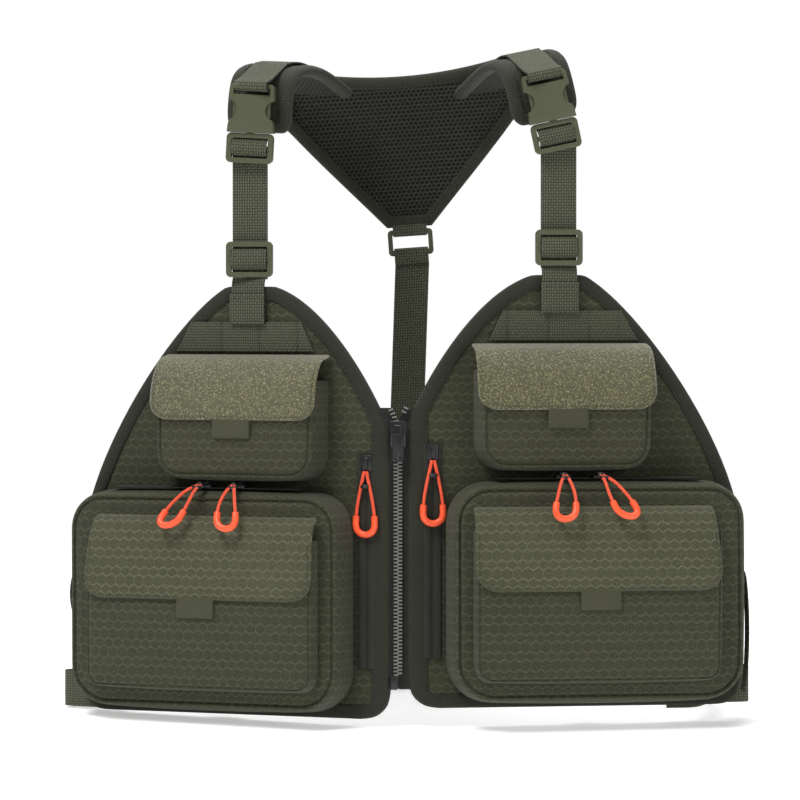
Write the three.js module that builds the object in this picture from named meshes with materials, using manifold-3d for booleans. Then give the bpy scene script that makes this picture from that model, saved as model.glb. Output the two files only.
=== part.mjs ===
// A harness-style fishing vest: two padded front panels with pockets, joined by a front zip, hung from a
// mesh-lined back yoke by buckled shoulder straps, and held behind by a back strap and a waist belt.
// Millimetres, +Z up. The front faces -Y. Left and right are those of a person facing the vest.
import * as THREE from "three";
import { mergeVertices } from "three/addons/utils/BufferGeometryUtils.js";
import Module from "manifold-3d";

const wasm = await Module();
wasm.setup();

// ---------------------------------------------------------------- driving dimensions
const gap = 0.3; // between pieces that touch
const swayRoom = 0.8; // between a front's tab and the strap it sways under
const webbing = { width: 25, thick: 1.6 };
const sides = {
  left: { mirror: -1, edge: 6.5, yaw: 22, rise: 0, strapYaw: 8, tilt: 3, padYaw: 12, fold: 12 },
  right: { mirror: 1, edge: 8, yaw: 9, rise: 8, strapYaw: 4, tilt: 12, padYaw: 9, fold: 1 },
};

const panel = { width: 236, height: 301, thick: 5, tip: 105.5, tipHalf: 18, edgeTop: 200, edgeFoot: 22 };
const tab = { foot: panel.height - 26, top: panel.height + 5, thick: 2.6 };
const band = { foot: panel.height - 45, height: 20, thick: 1.4, bottomHalf: 50, topHalf: 40 };

const upperPocket = {
  inner: 46,
  width: 121,
  foot: 166,
  depth: 28,
  wall: 2.5,
  corner: 18,
};
const upperFlap = { overhang: 3, thick: 2.6, root: 253, brow: 240, foot: 208, corner: 14 };

const lowerPocket = { inner: 25, width: 209, foot: 4, top: 160, depth: 32, corner: 26, slope: 7 };
const pouch = { inner: 40, width: 176, foot: 20, depth: 13, wall: 2, corner: 8 };
const lowerFlap = { overhang: 1.5, thick: 2.6, root: 141, brow: 130, foot: 83, corner: 16 };
const flapTab = { width: 28, drop: 12, thick: 1.6 };

const chestZip = { centre: 16, top: 184, foot: 35, width: 12 };
const frontZip = { foot: 21, top: 217, tape: 1.2, chain: 3.2, chainWidth: 4, boxHeight: 9 };
const frontSlider = { foot: 190, height: 18, width: 11, thick: 3 };
const smallSlider = { width: 8, length: 11, thick: 4 };
const topSliders = { inner: 104, outer: 130 };
const puller = { half: 1.8, foot: 1.5, thick: 1, clear: 3 }; // the top sliders' own flat puller
const pull = { cord: 2.5, end: 5, halfWidth: 6.2, length: 44 };

const glide = { width: webbing.width + 8, height: 25, thick: 4, rim: 3.6, foot: tab.top + 2 };
const buckle = {
  foot: tab.top + 82,
  width: webbing.width + 8,
  baseHeight: 21,
  baseThick: 6,
  rim: 3.5,
  socketHeight: 34,
  socketThick: 9,
  cavityHalf: webbing.width / 2 + 1,
  cavityDepth: 26,
  bar: 3,
  slot: 4.4,
};
const prong = { width: 5, length: 23, thick: 4.4 };

const pad = { thick: 8, frontWidth: 46, rearWidth: 58, drop: 30, crown: 15, clear: 10.5 };
const shoulderPoint = { y: 82, z: buckle.foot + 64 }; // where the wearer's shoulders carry the pads
const yoke = {
  thick: 8,
  lean: 10,
  y: shoulderPoint.y + 84,
  topHalf: 80,
  top: shoulderPoint.z + 14,
  dip: 10,
  waist: 38,
  length: 121,
  tipHalf: 17,
  roll: 4,
};
const ring = { width: webbing.width + 8, height: 19, thick: 3.4, rim: 3.4 };
const belt = { foot: 5, thick: 1.8, backY: 194 };
const dRing = { width: 27, height: 17, thick: 3, rim: 3, centre: 126, top: 16, play: 1 };

// ---------------------------------------------------------------- materials
const finish = (color, roughness) => new THREE.MeshStandardMaterial({ color, roughness, metalness: 0 });
const cloth = finish(0x4b5138, 0.9);
const loopFace = finish(0x6b6a44, 1);
const strapCloth = finish(0x4a4f3a, 0.85);
const plastic = finish(0x5c5f42, 0.45);
const mesh = finish(0x2a2d24, 0.95);
const black = finish(0x151515, 0.4);
const orange = finish(0xff5a30, 0.5);

// ---------------------------------------------------------------- geometry helpers
const radians = THREE.MathUtils.degToRad;

function solid(geometry) {
  const bare = new THREE.BufferGeometry();
  bare.setAttribute("position", geometry.getAttribute("position"));
  if (geometry.index) bare.setIndex(geometry.index);
  const merged = mergeVertices(bare, 1e-4);
  return new wasm.Manifold(
    new wasm.Mesh({
      numProp: 3,
      vertProperties: merged.attributes.position.array,
      triVerts: new Uint32Array(merged.index.array),
    }),
  );
}

function geometryOf(body) {
  const made = body.getMesh();
  const geometry = new THREE.BufferGeometry();
  geometry.setAttribute("position", new THREE.BufferAttribute(made.vertProperties, 3));
  geometry.setIndex(new THREE.BufferAttribute(made.triVerts, 1));
  return geometry;
}

const join = (...geometries) => geometryOf(geometries.map(solid).reduce((a, b) => a.add(b)));
const cut = (geometry, ...tools) =>
  geometryOf(tools.map(solid).reduce((a, b) => a.subtract(b), solid(geometry)));
const common = (a, b) => geometryOf(solid(a).intersect(solid(b)));

function box(x0, x1, y0, y1, z0, z1) {
  const geometry = new THREE.BoxGeometry(x1 - x0, y1 - y0, z1 - z0);
  return geometry.translate((x0 + x1) / 2, (y0 + y1) / 2, (z0 + z1) / 2);
}

// An outline drawn as seen from the front, filled from `back` to `front` millimetres forward.
function forward(shape, back, front, bevel = 0) {
  const geometry = new THREE.ExtrudeGeometry(shape, {
    depth: front - back - bevel,
    bevelEnabled: bevel > 0,
    bevelThickness: bevel,
    bevelSize: bevel * 0.8,
    bevelOffset: -bevel * 0.8,
    bevelSegments: 2,
    curveSegments: 5,
  });
  return geometry.rotateX(Math.PI / 2).translate(0, -back, 0);
}

// A side profile, x forward and y up, filled from x0 to x1.
function across(profile, x0, x1) {
  const geometry = new THREE.ExtrudeGeometry(profile, {
    depth: x1 - x0,
    bevelEnabled: false,
    curveSegments: 5,
  });
  const turn = new THREE.Matrix4().makeBasis(
    new THREE.Vector3(0, -1, 0),
    new THREE.Vector3(0, 0, 1),
    new THREE.Vector3(-1, 0, 0),
  );
  return geometry.applyMatrix4(turn).translate(x1, 0, 0);
}

// A plan outline, filled from z0 up to z1.
function upward(shape, z0, z1) {
  const geometry = new THREE.ExtrudeGeometry(shape, {
    depth: z1 - z0,
    bevelEnabled: false,
    curveSegments: 5,
  });
  return geometry.translate(0, 0, z0);
}

// A rectangle with its lower and upper corners rounded.
function rounded(x0, y0, x1, y1, lower, upper = lower) {
  const shape = new THREE.Shape();
  shape.moveTo(x0 + lower, y0);
  shape.lineTo(x1 - lower, y0);
  if (lower) shape.absarc(x1 - lower, y0 + lower, lower, -Math.PI / 2, 0);
  shape.lineTo(x1, y1 - upper);
  if (upper) shape.absarc(x1 - upper, y1 - upper, upper, 0, Math.PI / 2);
  shape.lineTo(x0 + upper, y1);
  if (upper) shape.absarc(x0 + upper, y1 - upper, upper, Math.PI / 2, Math.PI);
  shape.lineTo(x0, y0 + lower);
  if (lower) shape.absarc(x0 + lower, y0 + lower, lower, Math.PI, 1.5 * Math.PI);
  return shape;
}

// The points moved sideways, to the right of their own direction.
function beside(points, distance) {
  return points.map(([x, y], i) => {
    const before = points[Math.max(i - 1, 0)];
    const after = points[Math.min(i + 1, points.length - 1)];
    const length = Math.hypot(after[0] - before[0], after[1] - before[1]);
    const way = [(after[0] - before[0]) / length, (after[1] - before[1]) / length];
    return [x + way[1] * distance, y - way[0] * distance];
  });
}

// The outline of a strip of the given thickness whose middle follows the points.
function strip(points, thick) {
  const outline = [...beside(points, thick / 2), ...beside(points, -thick / 2).reverse()];
  return new THREE.Shape(outline.map(([x, y]) => new THREE.Vector2(x, y)));
}

function smooth(points, count) {
  const curve = new THREE.SplineCurve(points.map((p) => new THREE.Vector2(p[0], p[1])));
  return curve.getSpacedPoints(count).map((p) => [p.x, p.y]);
}

// A webbing loop round a bar, in side profile: a closed band with room for the bar inside.
function loopProfile(barDepth, barHeight) {
  const inner = { x: barDepth / 2 + gap, y: barHeight / 2 + gap };
  const t = webbing.thick;
  const shape = rounded(-inner.x - t, -inner.y - t, inner.x + t, inner.y + t, 1);
  shape.holes.push(rounded(-inner.x, -inner.y, inner.x, inner.y, 0.3));
  return shape;
}

// A tube of the given diameter along a spline through the points.
function tube(points, diameter, steps) {
  const section = new THREE.Shape();
  section.absarc(0, 0, diameter / 2, 0, 2 * Math.PI);
  const path = new THREE.CatmullRomCurve3(points.map((p) => new THREE.Vector3(...p)));
  return new THREE.ExtrudeGeometry(section, { steps, extrudePath: path, curveSegments: 4 });
}

function add(group, name, geometry, material) {
  const piece = new THREE.Mesh(geometry, material);
  piece.name = name;
  group.add(piece);
  return piece;
}

function frameAt(parent, x, y, z) {
  const frame = new THREE.Group();
  frame.position.set(x, y, z);
  parent.add(frame);
  return frame;
}

// ---------------------------------------------------------------- the vest's frames
const vest = new THREE.Group();
const body = frameAt(vest, 0, -shoulderPoint.y, -shoulderPoint.z);

// A side's own frame: x runs outward from the centre front, so both sides share one description.
function sideFrame(side) {
  const frame = frameAt(body, 0, 0, 0);
  frame.scale.x = side.mirror;
  return frame;
}

// A front panel's frame: x outward across the panel, -y forward, z up from its foot.
function panelFrame(side) {
  const frame = frameAt(sideFrame(side), side.edge, 0, side.rise);
  frame.rotation.z = radians(side.yaw);
  return frame;
}

// A point of a panel in the side's frame, `forward` millimetres in front of its face.
function onPanel(side, x, ahead, z) {
  const yaw = radians(side.yaw);
  return new THREE.Vector3(
    side.edge + x * Math.cos(yaw) + ahead * Math.sin(yaw),
    x * Math.sin(yaw) - ahead * Math.cos(yaw),
    side.rise + z,
  );
}

// ---------------------------------------------------------------- front panels
function panelOutline() {
  const { width, height, tip, tipHalf, edgeTop, edgeFoot } = panel;
  const shape = new THREE.Shape();
  shape.moveTo(edgeFoot, 0);
  shape.lineTo(width - 18, 0);
  shape.quadraticCurveTo(width, 0, width, 18);
  shape.lineTo(width, height * 0.4);
  shape.bezierCurveTo(width - 4, height * 0.6, tip + 59, height * 0.925, tip + tipHalf, height);
  shape.lineTo(tip - tipHalf, height);
  shape.bezierCurveTo(tip - 56, height - 11, 15, edgeTop + 35, 0, edgeTop);
  shape.lineTo(0, edgeFoot);
  shape.quadraticCurveTo(0, 0, edgeFoot, 0);
  return shape;
}

function bandOutline() {
  const { foot, height, bottomHalf, topHalf } = band;
  const shape = new THREE.Shape();
  shape.moveTo(panel.tip - bottomHalf, foot);
  shape.lineTo(panel.tip + bottomHalf + 6, foot);
  shape.lineTo(panel.tip + topHalf + 4, foot + height);
  shape.lineTo(panel.tip - topHalf, foot + height);
  return shape;
}

function frontPanel(frame, label) {
  add(frame, `front_panel_${label}`, forward(panelOutline(), -panel.thick, 0), cloth);
  add(frame, `webbing_band_${label}`, forward(bandOutline(), gap, gap + band.thick), strapCloth);
  const half = webbing.width / 2;
  const front = band.thick + 2 * gap;
  const sewn = box(panel.tip - half, panel.tip + half, -front - tab.thick, -front, tab.foot, tab.top);
  add(frame, `panel_tab_${label}`, sewn, strapCloth);
}

// ---------------------------------------------------------------- flap pockets
// A boxy pocket open at its top, standing `depth` forward of `back`, with its flap's room left above it.
function openPocket(size, flap, back) {
  const { inner, width, foot, depth, wall, corner } = size;
  const top = flap.brow - flap.thick - 1;
  const outer = forward(rounded(inner, foot, inner + width, top, corner, 0), back, back + depth);
  const room = forward(
    rounded(inner + wall, foot + wall, inner + width - wall, top + 5, corner - wall, 0),
    back + wall,
    back + depth - wall,
  );
  return cut(outer, room);
}

// A flap that leaves the panel at `root`, crosses the pocket's top and hangs down its front.
function flapSolid(size, pocket, back) {
  const front = back + pocket.depth + gap + size.thick / 2;
  const profile = strip(
    [
      [back + gap + size.thick / 2, size.root],
      [front - pocket.depth * 0.35, (size.root + 2 * size.brow) / 3 + size.thick],
      [front, size.brow - size.thick],
      [front, size.brow - 2.5 * size.thick],
      [front, size.foot],
    ],
    size.thick,
  );
  const x0 = pocket.inner - size.overhang;
  const x1 = pocket.inner + pocket.width + size.overhang;
  const outline = forward(rounded(x0, size.foot, x1, size.root + 20, size.corner, 0), 0, front + 20);
  const middle = (x0 + x1) / 2;
  const pullTab = box(
    middle - flapTab.width / 2,
    middle + flapTab.width / 2,
    -front - flapTab.thick / 2,
    -front + flapTab.thick / 2,
    size.foot - flapTab.drop,
    size.foot + 4,
  );
  return join(common(across(profile, x0, x1), outline), pullTab);
}

function pockets(frame, label) {
  const onBand = gap;
  add(frame, `upper_pocket_${label}`, openPocket(upperPocket, upperFlap, onBand), cloth);
  add(frame, `upper_flap_${label}`, flapSolid(upperFlap, upperPocket, onBand), loopFace);
  const { inner, width, foot, top, depth, corner, slope } = lowerPocket;
  const main = forward(rounded(inner, foot, inner + width, top, corner), gap, gap + depth, slope);
  const behind = box(inner - 1, inner + width + 1, -gap, 2 * slope, foot - 1, top + 1);
  add(frame, `lower_pocket_${label}`, cut(main, behind), cloth);
  const face = gap + depth + gap;
  add(frame, `front_pouch_${label}`, openPocket(pouch, lowerFlap, face), cloth);
  add(frame, `lower_flap_${label}`, flapSolid(lowerFlap, pouch, face), cloth);
}

// ---------------------------------------------------------------- zip pulls
// A cord loop with a thick moulded end, hanging from the frame's origin along the given middle line.
// Each point of the line is [across, forward, up].
function cordPull(line) {
  const last = line.length - 1;
  const spread = (i) => 1.6 + (pull.halfWidth - 1.6) * Math.sin((Math.PI / 2) * (i / last));
  const strand = (way) => line.map(([x, ahead, z], i) => [x + way * spread(i), -ahead, z]);
  const [x, ahead, z] = line[last];
  const toe = [x, -ahead, z - pull.halfWidth];
  const down = strand(-1);
  const up = strand(1).reverse();
  const cord = tube([...down, toe, ...up], pull.cord, 22);
  const end = tube([down[last - 1], down[last], toe, up[0], up[1]], pull.end, 10);
  return join(cord, end);
}

function sliderBody(width, length, thick) {
  const plate = box(-width / 2, width / 2, -thick / 2, 0, -length / 2, length / 2);
  const bridge = box(-width / 5, width / 5, -thick, 0, -length / 3, length / 3);
  return join(plate, bridge);
}

function chestZips(frame, label) {
  const seat = frameAt(frame, chestZip.centre, -gap, chestZip.top - smallSlider.length / 2);
  const slider = sliderBody(smallSlider.width, smallSlider.length, smallSlider.thick);
  add(seat, `chest_slider_${label}`, slider, black);
  const hang = frameAt(seat, 0, 0, -smallSlider.length / 2 - gap);
  const line = [0, 0.25, 0.5, 0.75, 1].map((t) => [0, pull.end / 2 + 1, -t * (pull.length - pull.halfWidth)]);
  add(hang, `chest_pull_${label}`, cordPull(line), orange);
}

// The two sliders on the lower pocket's top. Each has a flat puller that reaches out from under the upper
// pocket, and its cord pull hangs from there over the lower pocket's front edge.
function topZips(frame, label) {
  const lines = {
    inner: [
      [0, 0.6, 0],
      [-1, 8, -3.5],
      [-2, 15.5, -12],
      [-3.5, 20.5, -23],
    ],
    outer: [
      [0, 0.6, 0],
      [3.5, 8, -3.5],
      [8, 15.5, -12],
      [13, 20.5, -22],
    ],
  };
  const seatAhead = gap + lowerPocket.depth * 0.5;
  const reach = gap + upperPocket.depth + puller.clear - seatAhead;
  const { half, foot, thick } = puller;
  for (const [which, place] of Object.entries(topSliders)) {
    const seat = frameAt(frame, place, -seatAhead, lowerPocket.top + gap);
    const slider = sliderBody(smallSlider.width, smallSlider.length, smallSlider.thick);
    slider.rotateX(-Math.PI / 2);
    const plate = box(-half, half, gap - reach, 0, foot, foot + thick);
    add(seat, `pocket_slider_${which}_${label}`, join(slider, plate), black);
    const hang = frameAt(seat, 0, -reach, foot + thick / 2);
    add(hang, `pocket_pull_${which}_${label}`, cordPull(lines[which]), orange);
  }
}

// ---------------------------------------------------------------- front zip
function zipHalf(frame, side, label) {
  const { foot, top, tape, chain, chainWidth, boxHeight } = frontZip;
  const tapeEdge = side.edge - gap - (1 + tape) * Math.tan(radians(side.yaw));
  const tapeStrip = box(gap / 2, tapeEdge, 1, 1 + tape, foot, top);
  const teeth = box(gap / 2, chainWidth, 1 - chain, 1 + tape / 2, foot + boxHeight + gap, top);
  let half = join(tapeStrip, teeth);
  if (label === "right") {
    const pin = box(gap / 2, chainWidth, 1 - chain, 1 + tape / 2, foot, foot + boxHeight + 1);
    const margin = 4;
    const clear = box(
      0,
      frontSlider.width / 2 + 0.6,
      -chain - margin,
      tape + 2 * margin,
      frontSlider.foot - margin,
      frontSlider.foot + frontSlider.height + margin,
    );
    half = cut(join(half, pin), clear);
  }
  add(frame, `zip_half_${label}`, half, black);
}

function frontZipPieces(leftFrame) {
  const { foot, chain, boxHeight, chainWidth } = frontZip;
  const retainer = box(gap / 2, chainWidth + 1, 1 - chain - 0.6, 1 - gap, foot, foot + boxHeight);
  add(leftFrame, "zip_box", retainer, black);
  const seat = frameAt(leftFrame, 0, 1 - chain - gap, frontSlider.foot + frontSlider.height / 2);
  add(seat, "zip_slider", sliderBody(frontSlider.width, frontSlider.height, frontSlider.thick), black);
  const hole = new THREE.Path();
  hole.absarc(0, -16, 1.6, 0, 2 * Math.PI);
  const shape = rounded(-4, -19.5, 4, 0, 3, 1.5);
  shape.holes.push(hole);
  add(seat, "zip_pull", forward(shape, frontSlider.thick + gap, frontSlider.thick + gap + 2), black);
}

// ---------------------------------------------------------------- shoulder strap, slider and buckle
function ladder(width, height, thick, rim) {
  const shape = rounded(-width / 2, 0, width / 2, height, 3.5);
  const bar = 3;
  const slotHeight = (height - 2 * rim - bar) / 2;
  for (const z of [rim, rim + slotHeight + bar]) {
    shape.holes.push(rounded(-width / 2 + rim, z, width / 2 - rim, z + slotHeight, 1));
  }
  return forward(shape, -thick / 2, thick / 2);
}

function socketSolid() {
  const { width, baseHeight, socketHeight, socketThick, cavityHalf, cavityDepth, bar, slot } = buckle;
  const foot = baseHeight + gap;
  const top = foot + socketHeight;
  const half = width / 2;
  const outline = new THREE.Shape();
  outline.moveTo(-half, foot);
  outline.lineTo(half, foot);
  outline.lineTo(half - 0.5, foot + 6);
  outline.quadraticCurveTo(half - 3.5, foot + 15, half - 0.5, foot + 24);
  outline.lineTo(half - 1, top - 3);
  outline.quadraticCurveTo(half - 1, top, half - 4, top);
  outline.lineTo(4 - half, top);
  outline.quadraticCurveTo(1 - half, top, 1 - half, top - 3);
  outline.lineTo(0.5 - half, foot + 24);
  outline.quadraticCurveTo(3.5 - half, foot + 15, 0.5 - half, foot + 6);
  const shell = forward(outline, -socketThick / 2, socketThick / 2);
  const room = prong.thick / 2 + gap;
  const cavity = box(-cavityHalf, cavityHalf, -room, room, foot - 1, foot + cavityDepth);
  const windows = box(-half - 1, half + 1, -room, room, foot + 8, foot + 22);
  const slotHalf = webbing.width / 2 + 0.5;
  const slotCut = box(-slotHalf, slotHalf, -9, 9, top - bar - slot, top - bar);
  return cut(shell, cavity, windows, slotCut);
}

function strapColumn(side, label) {
  const foot = onPanel(side, panel.tip, 0, 0);
  const column = frameAt(sideFrame(side), foot.x, foot.y - 3, side.rise);
  column.rotation.z = radians(side.strapYaw);
  const half = webbing.width / 2;
  const behind = glide.thick / 2 + gap;
  const strapTop = buckle.foot + buckle.baseHeight / 2 - 2.2;
  const strap = box(-half, half, behind, behind + webbing.thick, tab.top + swayRoom, strapTop);
  add(column, `shoulder_strap_${label}`, strap, strapCloth);
  const slide = frameAt(column, 0, 0, glide.foot);
  add(slide, `strap_slider_${label}`, ladder(glide.width, glide.height, glide.thick, glide.rim), plastic);

  const catchFrame = frameAt(column, 0, behind - gap - buckle.baseThick / 2, buckle.foot);
  catchFrame.rotation.y = -radians(side.tilt);
  const { width, baseHeight, baseThick, rim } = buckle;
  const guide = box(-2.5, 2.5, -prong.thick / 2, prong.thick / 2, baseHeight - 1, baseHeight + prong.length);
  add(catchFrame, `buckle_plug_${label}`, join(ladder(width, baseHeight, baseThick, rim), guide), plastic);
  for (const [which, way] of [["inner", -1], ["outer", 1]]) {
    const outside = buckle.cavityHalf - gap;
    const arm = box(outside - prong.width, outside, -prong.thick / 2, prong.thick / 2, 0, prong.length);
    const seat = frameAt(catchFrame, 0, 0, baseHeight + gap);
    add(seat, `buckle_prong_${which}_${label}`, way > 0 ? arm : arm.rotateZ(Math.PI), plastic);
  }
  add(catchFrame, `buckle_socket_${label}`, socketSolid(), plastic);
  return catchFrame;
}

// ---------------------------------------------------------------- shoulder pads and their webbing
// Middle line of the pad in side view, [forward, up] from the buckle's top bar.
function padLine(reach) {
  const { drop, crown, clear } = pad;
  const setback = buckle.socketThick / 2 + clear;
  return smooth(
    [
      [-setback - 2, -drop],
      [-setback, -drop * 0.4],
      [-setback - 6, crown * 0.45],
      [-setback - 29, crown * 0.95],
      [-setback - 61, crown * 0.9],
      [-reach, crown * 0.2],
    ],
    9,
  );
}

function shoulder(catchFrame, side, label) {
  const barHeight = buckle.baseHeight + gap + buckle.socketHeight - buckle.bar / 2;
  const top = frameAt(catchFrame, 0, 0, barHeight);
  top.rotation.z = radians(side.padYaw);
  const { frontWidth, rearWidth, thick } = pad;
  const yaw = radians(side.padYaw);
  const depth = yoke.y - yoke.thick - 2 * gap - onPanel(side, panel.tip, 0, 0).y + 5;
  const reach = (depth - (rearWidth / 2) * Math.sin(yaw)) / Math.cos(yaw);
  const plan = new THREE.Shape();
  plan.moveTo(-frontWidth / 2, -1);
  plan.lineTo(frontWidth / 2, -1);
  plan.lineTo(frontWidth / 2, 25);
  plan.lineTo(rearWidth / 2, reach + 20);
  plan.lineTo(-rearWidth / 2, reach + 20);
  plan.lineTo(-frontWidth / 2, 25);
  const arch = across(strip(padLine(reach), thick), -rearWidth / 2, rearWidth / 2);
  add(top, `shoulder_pad_${label}`, common(arch, upward(plan, -60, 60)), cloth);

  const half = webbing.width / 2;
  const loop = across(loopProfile(buckle.socketThick, buckle.bar), -half, half).rotateZ(-yaw);
  const above = thick / 2 + gap + webbing.thick / 2;
  const over = [
    [-buckle.socketThick / 2, buckle.bar / 2 + gap + webbing.thick / 2],
    ...beside(padLine(reach), above).slice(3, 9),
  ];
  const run = strip(over, webbing.thick);
  add(top, `pad_webbing_${label}`, join(loop, across(run, -half, half)), strapCloth);
}

// ---------------------------------------------------------------- back yoke, ring, back strap, waist belt
function yokePieces() {
  const { thick, lean, y, topHalf, top, dip, waist, length: drop, tipHalf, roll } = yoke;
  const hang = frameAt(body, 0, y, top);
  hang.rotation.set(radians(lean), radians(-roll), 0);
  const outline = new THREE.Shape();
  outline.moveTo(-tipHalf, -drop);
  outline.lineTo(tipHalf, -drop);
  outline.lineTo(topHalf + 6, -waist);
  outline.lineTo(topHalf, 0);
  outline.quadraticCurveTo(0, -2 * dip, -topHalf, 0);
  outline.lineTo(-topHalf - 6, -waist);
  add(hang, "back_yoke_pad", forward(outline, 0, thick), mesh);

  const half = webbing.width / 2;
  const barHeight = ring.rim;
  const ringFrame = frameAt(hang, 0, -thick / 2, -drop - gap - webbing.thick - gap - barHeight);
  const shape = rounded(-ring.width / 2, barHeight - ring.height, ring.width / 2, barHeight, 3);
  shape.holes.push(
    rounded(-ring.width / 2 + ring.rim, 2 * barHeight - ring.height, ring.width / 2 - ring.rim, 0, 1),
  );
  add(ringFrame, "back_ring", forward(shape, -ring.thick / 2, ring.thick / 2), plastic);
  const loop = loopProfile(ring.thick, barHeight);
  const tabLoop = across(loop, -half, half).translate(0, 0, barHeight / 2);
  add(ringFrame, "yoke_tab", tabLoop, strapCloth);

  // The back strap leaves the ring's lower bar and runs down to the belt.
  const lowBar = 1.5 * barHeight - ring.height;
  const underBar = lowBar - barHeight / 2 - 2 * gap - half * Math.tan(radians(roll));
  const strapLoop = across(loop, -half, half).translate(0, 0, lowBar);
  hang.updateMatrixWorld(true);
  body.updateMatrixWorld(true);
  const start = body.worldToLocal(ringFrame.localToWorld(new THREE.Vector3(0, 0, underBar)));
  const end = new THREE.Vector3(0, belt.backY - belt.thick / 2 - gap - webbing.thick / 2, belt.foot);
  const run = end.clone().sub(start);
  const length = run.length();
  run.normalize();
  const widthWay = new THREE.Vector3(1, 0, 0).addScaledVector(run, -run.x).normalize();
  const faceWay = run.clone().cross(widthWay).normalize();
  const basis = new THREE.Matrix4().makeBasis(widthWay, faceWay.negate(), run.clone().negate());
  const flat = box(-half, half, -webbing.thick / 2, webbing.thick / 2, -length, 0);
  flat.applyMatrix4(basis).translate(start.x, start.y, start.z);
  ringFrame.updateMatrixWorld(true);
  const toBody = body.matrixWorld.clone().invert().multiply(ringFrame.matrixWorld);
  add(body, "back_strap", join(flat, strapLoop.applyMatrix4(toBody)), strapCloth);
}

function beltPath() {
  const end = (side, x) => {
    const p = onPanel(side, x, -panel.thick - gap - belt.thick / 2, 0);
    return [side.mirror * p.x, p.y];
  };
  const left = [end(sides.left, 184), end(sides.left, 200)];
  const right = [end(sides.right, 200), end(sides.right, 184)];
  const round = [
    [-197, 92],
    [-201, 106],
    [-203, 130],
    [-168, 170],
    [-92, 190],
    [0, belt.backY],
    [100, 188],
    [178, 166],
    [222, 126],
    [225, 84],
    [217, 60],
    [212, 46],
  ];
  return [...left, ...smooth(round, 20), ...right];
}

function waistBelt() {
  const path = beltPath();
  add(body, "waist_belt", upward(strip(path, belt.thick), belt.foot, belt.foot + webbing.width), strapCloth);
}

// A folded end of webbing at the panel's outer lower corner.
function edgeWebbing(frame, side, label) {
  const back = panel.thick + gap;
  const reach = panel.width + side.fold;
  const fold = [
    [panel.width - 20, back + 1],
    [panel.width - 4, back + 1],
    [reach + 4, back + 3],
    [reach + 7, back + 8],
    [reach + 2, back + 13],
    [panel.width - 12, back + 14],
  ];
  const foldSolid = upward(strip(smooth(fold, 9), webbing.thick), 0, 27);
  add(frame, `belt_fold_${label}`, foldSolid, strapCloth);
}

function dRingPiece(frame, label) {
  const { width, height, thick, rim, centre, top, play } = dRing;
  const outline = new THREE.Shape();
  const side = width / 2;
  outline.moveTo(-side, 0);
  outline.lineTo(-side, -height * 0.4);
  outline.bezierCurveTo(-side, -height * 1.2, side, -height * 1.2, side, -height * 0.4);
  outline.lineTo(side, 0);
  const hole = new THREE.Path();
  const inside = side - rim;
  hole.moveTo(-inside, -rim);
  hole.lineTo(-inside, -height * 0.4);
  hole.bezierCurveTo(-inside, rim - height * 1.2, inside, rim - height * 1.2, inside, -height * 0.4);
  hole.lineTo(inside, -rim);
  outline.holes.push(hole);
  const loopHalf = (thick + play) / 2 + gap + webbing.thick;
  const seat = frameAt(frame, centre, panel.thick + gap + loopHalf, top);
  add(seat, `d_ring_${label}`, forward(outline, -thick / 2, thick / 2), plastic);
  const half = width / 2 - rim - gap;
  const loop = across(loopProfile(thick + play, rim + play), -half, half).translate(0, 0, -rim / 2);
  const tail = box(-half, half, -loopHalf, webbing.thick - loopHalf, -rim / 2, 22);
  add(seat, `d_ring_tab_${label}`, join(loop, tail), strapCloth);
}

// ---------------------------------------------------------------- assembly
for (const [label, side] of Object.entries(sides)) {
  const front = panelFrame(side);
  front.name = `front_${label}`;
  frontPanel(front, label);
  pockets(front, label);
  chestZips(front, label);
  topZips(front, label);
  edgeWebbing(front, side, label);
  dRingPiece(front, label);
  const middle = sideFrame(side);
  zipHalf(middle, side, label);
  if (label === "left") frontZipPieces(middle);
  const catchFrame = strapColumn(side, label);
  catchFrame.name = `catch_${label}`;
  shoulder(catchFrame, side, label);
}
yokePieces();
waistBelt();

export default vest;
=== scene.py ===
"""A harness fishing vest finished in cloth, webbing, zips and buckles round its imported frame."""

import math

import bmesh
import bpy
from mathutils import Matrix, Vector, noise


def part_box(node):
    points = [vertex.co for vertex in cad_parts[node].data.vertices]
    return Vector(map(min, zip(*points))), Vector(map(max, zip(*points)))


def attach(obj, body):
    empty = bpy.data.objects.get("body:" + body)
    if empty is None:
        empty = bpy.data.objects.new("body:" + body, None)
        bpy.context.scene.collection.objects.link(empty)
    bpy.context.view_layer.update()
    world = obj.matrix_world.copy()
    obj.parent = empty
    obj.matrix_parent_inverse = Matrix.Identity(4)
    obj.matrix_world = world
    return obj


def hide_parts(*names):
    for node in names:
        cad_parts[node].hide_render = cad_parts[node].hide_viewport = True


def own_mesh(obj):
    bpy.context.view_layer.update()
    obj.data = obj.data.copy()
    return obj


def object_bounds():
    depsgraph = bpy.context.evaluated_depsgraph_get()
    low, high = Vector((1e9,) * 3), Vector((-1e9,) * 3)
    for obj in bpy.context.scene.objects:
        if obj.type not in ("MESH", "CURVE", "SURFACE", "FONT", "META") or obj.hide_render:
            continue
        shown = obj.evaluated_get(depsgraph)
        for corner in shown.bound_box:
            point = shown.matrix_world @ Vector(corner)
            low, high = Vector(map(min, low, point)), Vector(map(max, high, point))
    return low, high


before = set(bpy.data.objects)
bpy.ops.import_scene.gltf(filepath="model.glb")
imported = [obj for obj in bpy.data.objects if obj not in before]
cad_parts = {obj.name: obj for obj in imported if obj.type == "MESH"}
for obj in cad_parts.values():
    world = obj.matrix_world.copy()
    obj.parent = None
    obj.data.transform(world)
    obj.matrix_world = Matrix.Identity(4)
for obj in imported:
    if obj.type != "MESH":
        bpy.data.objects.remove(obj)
cad_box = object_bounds()
MM = 0.001

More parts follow.
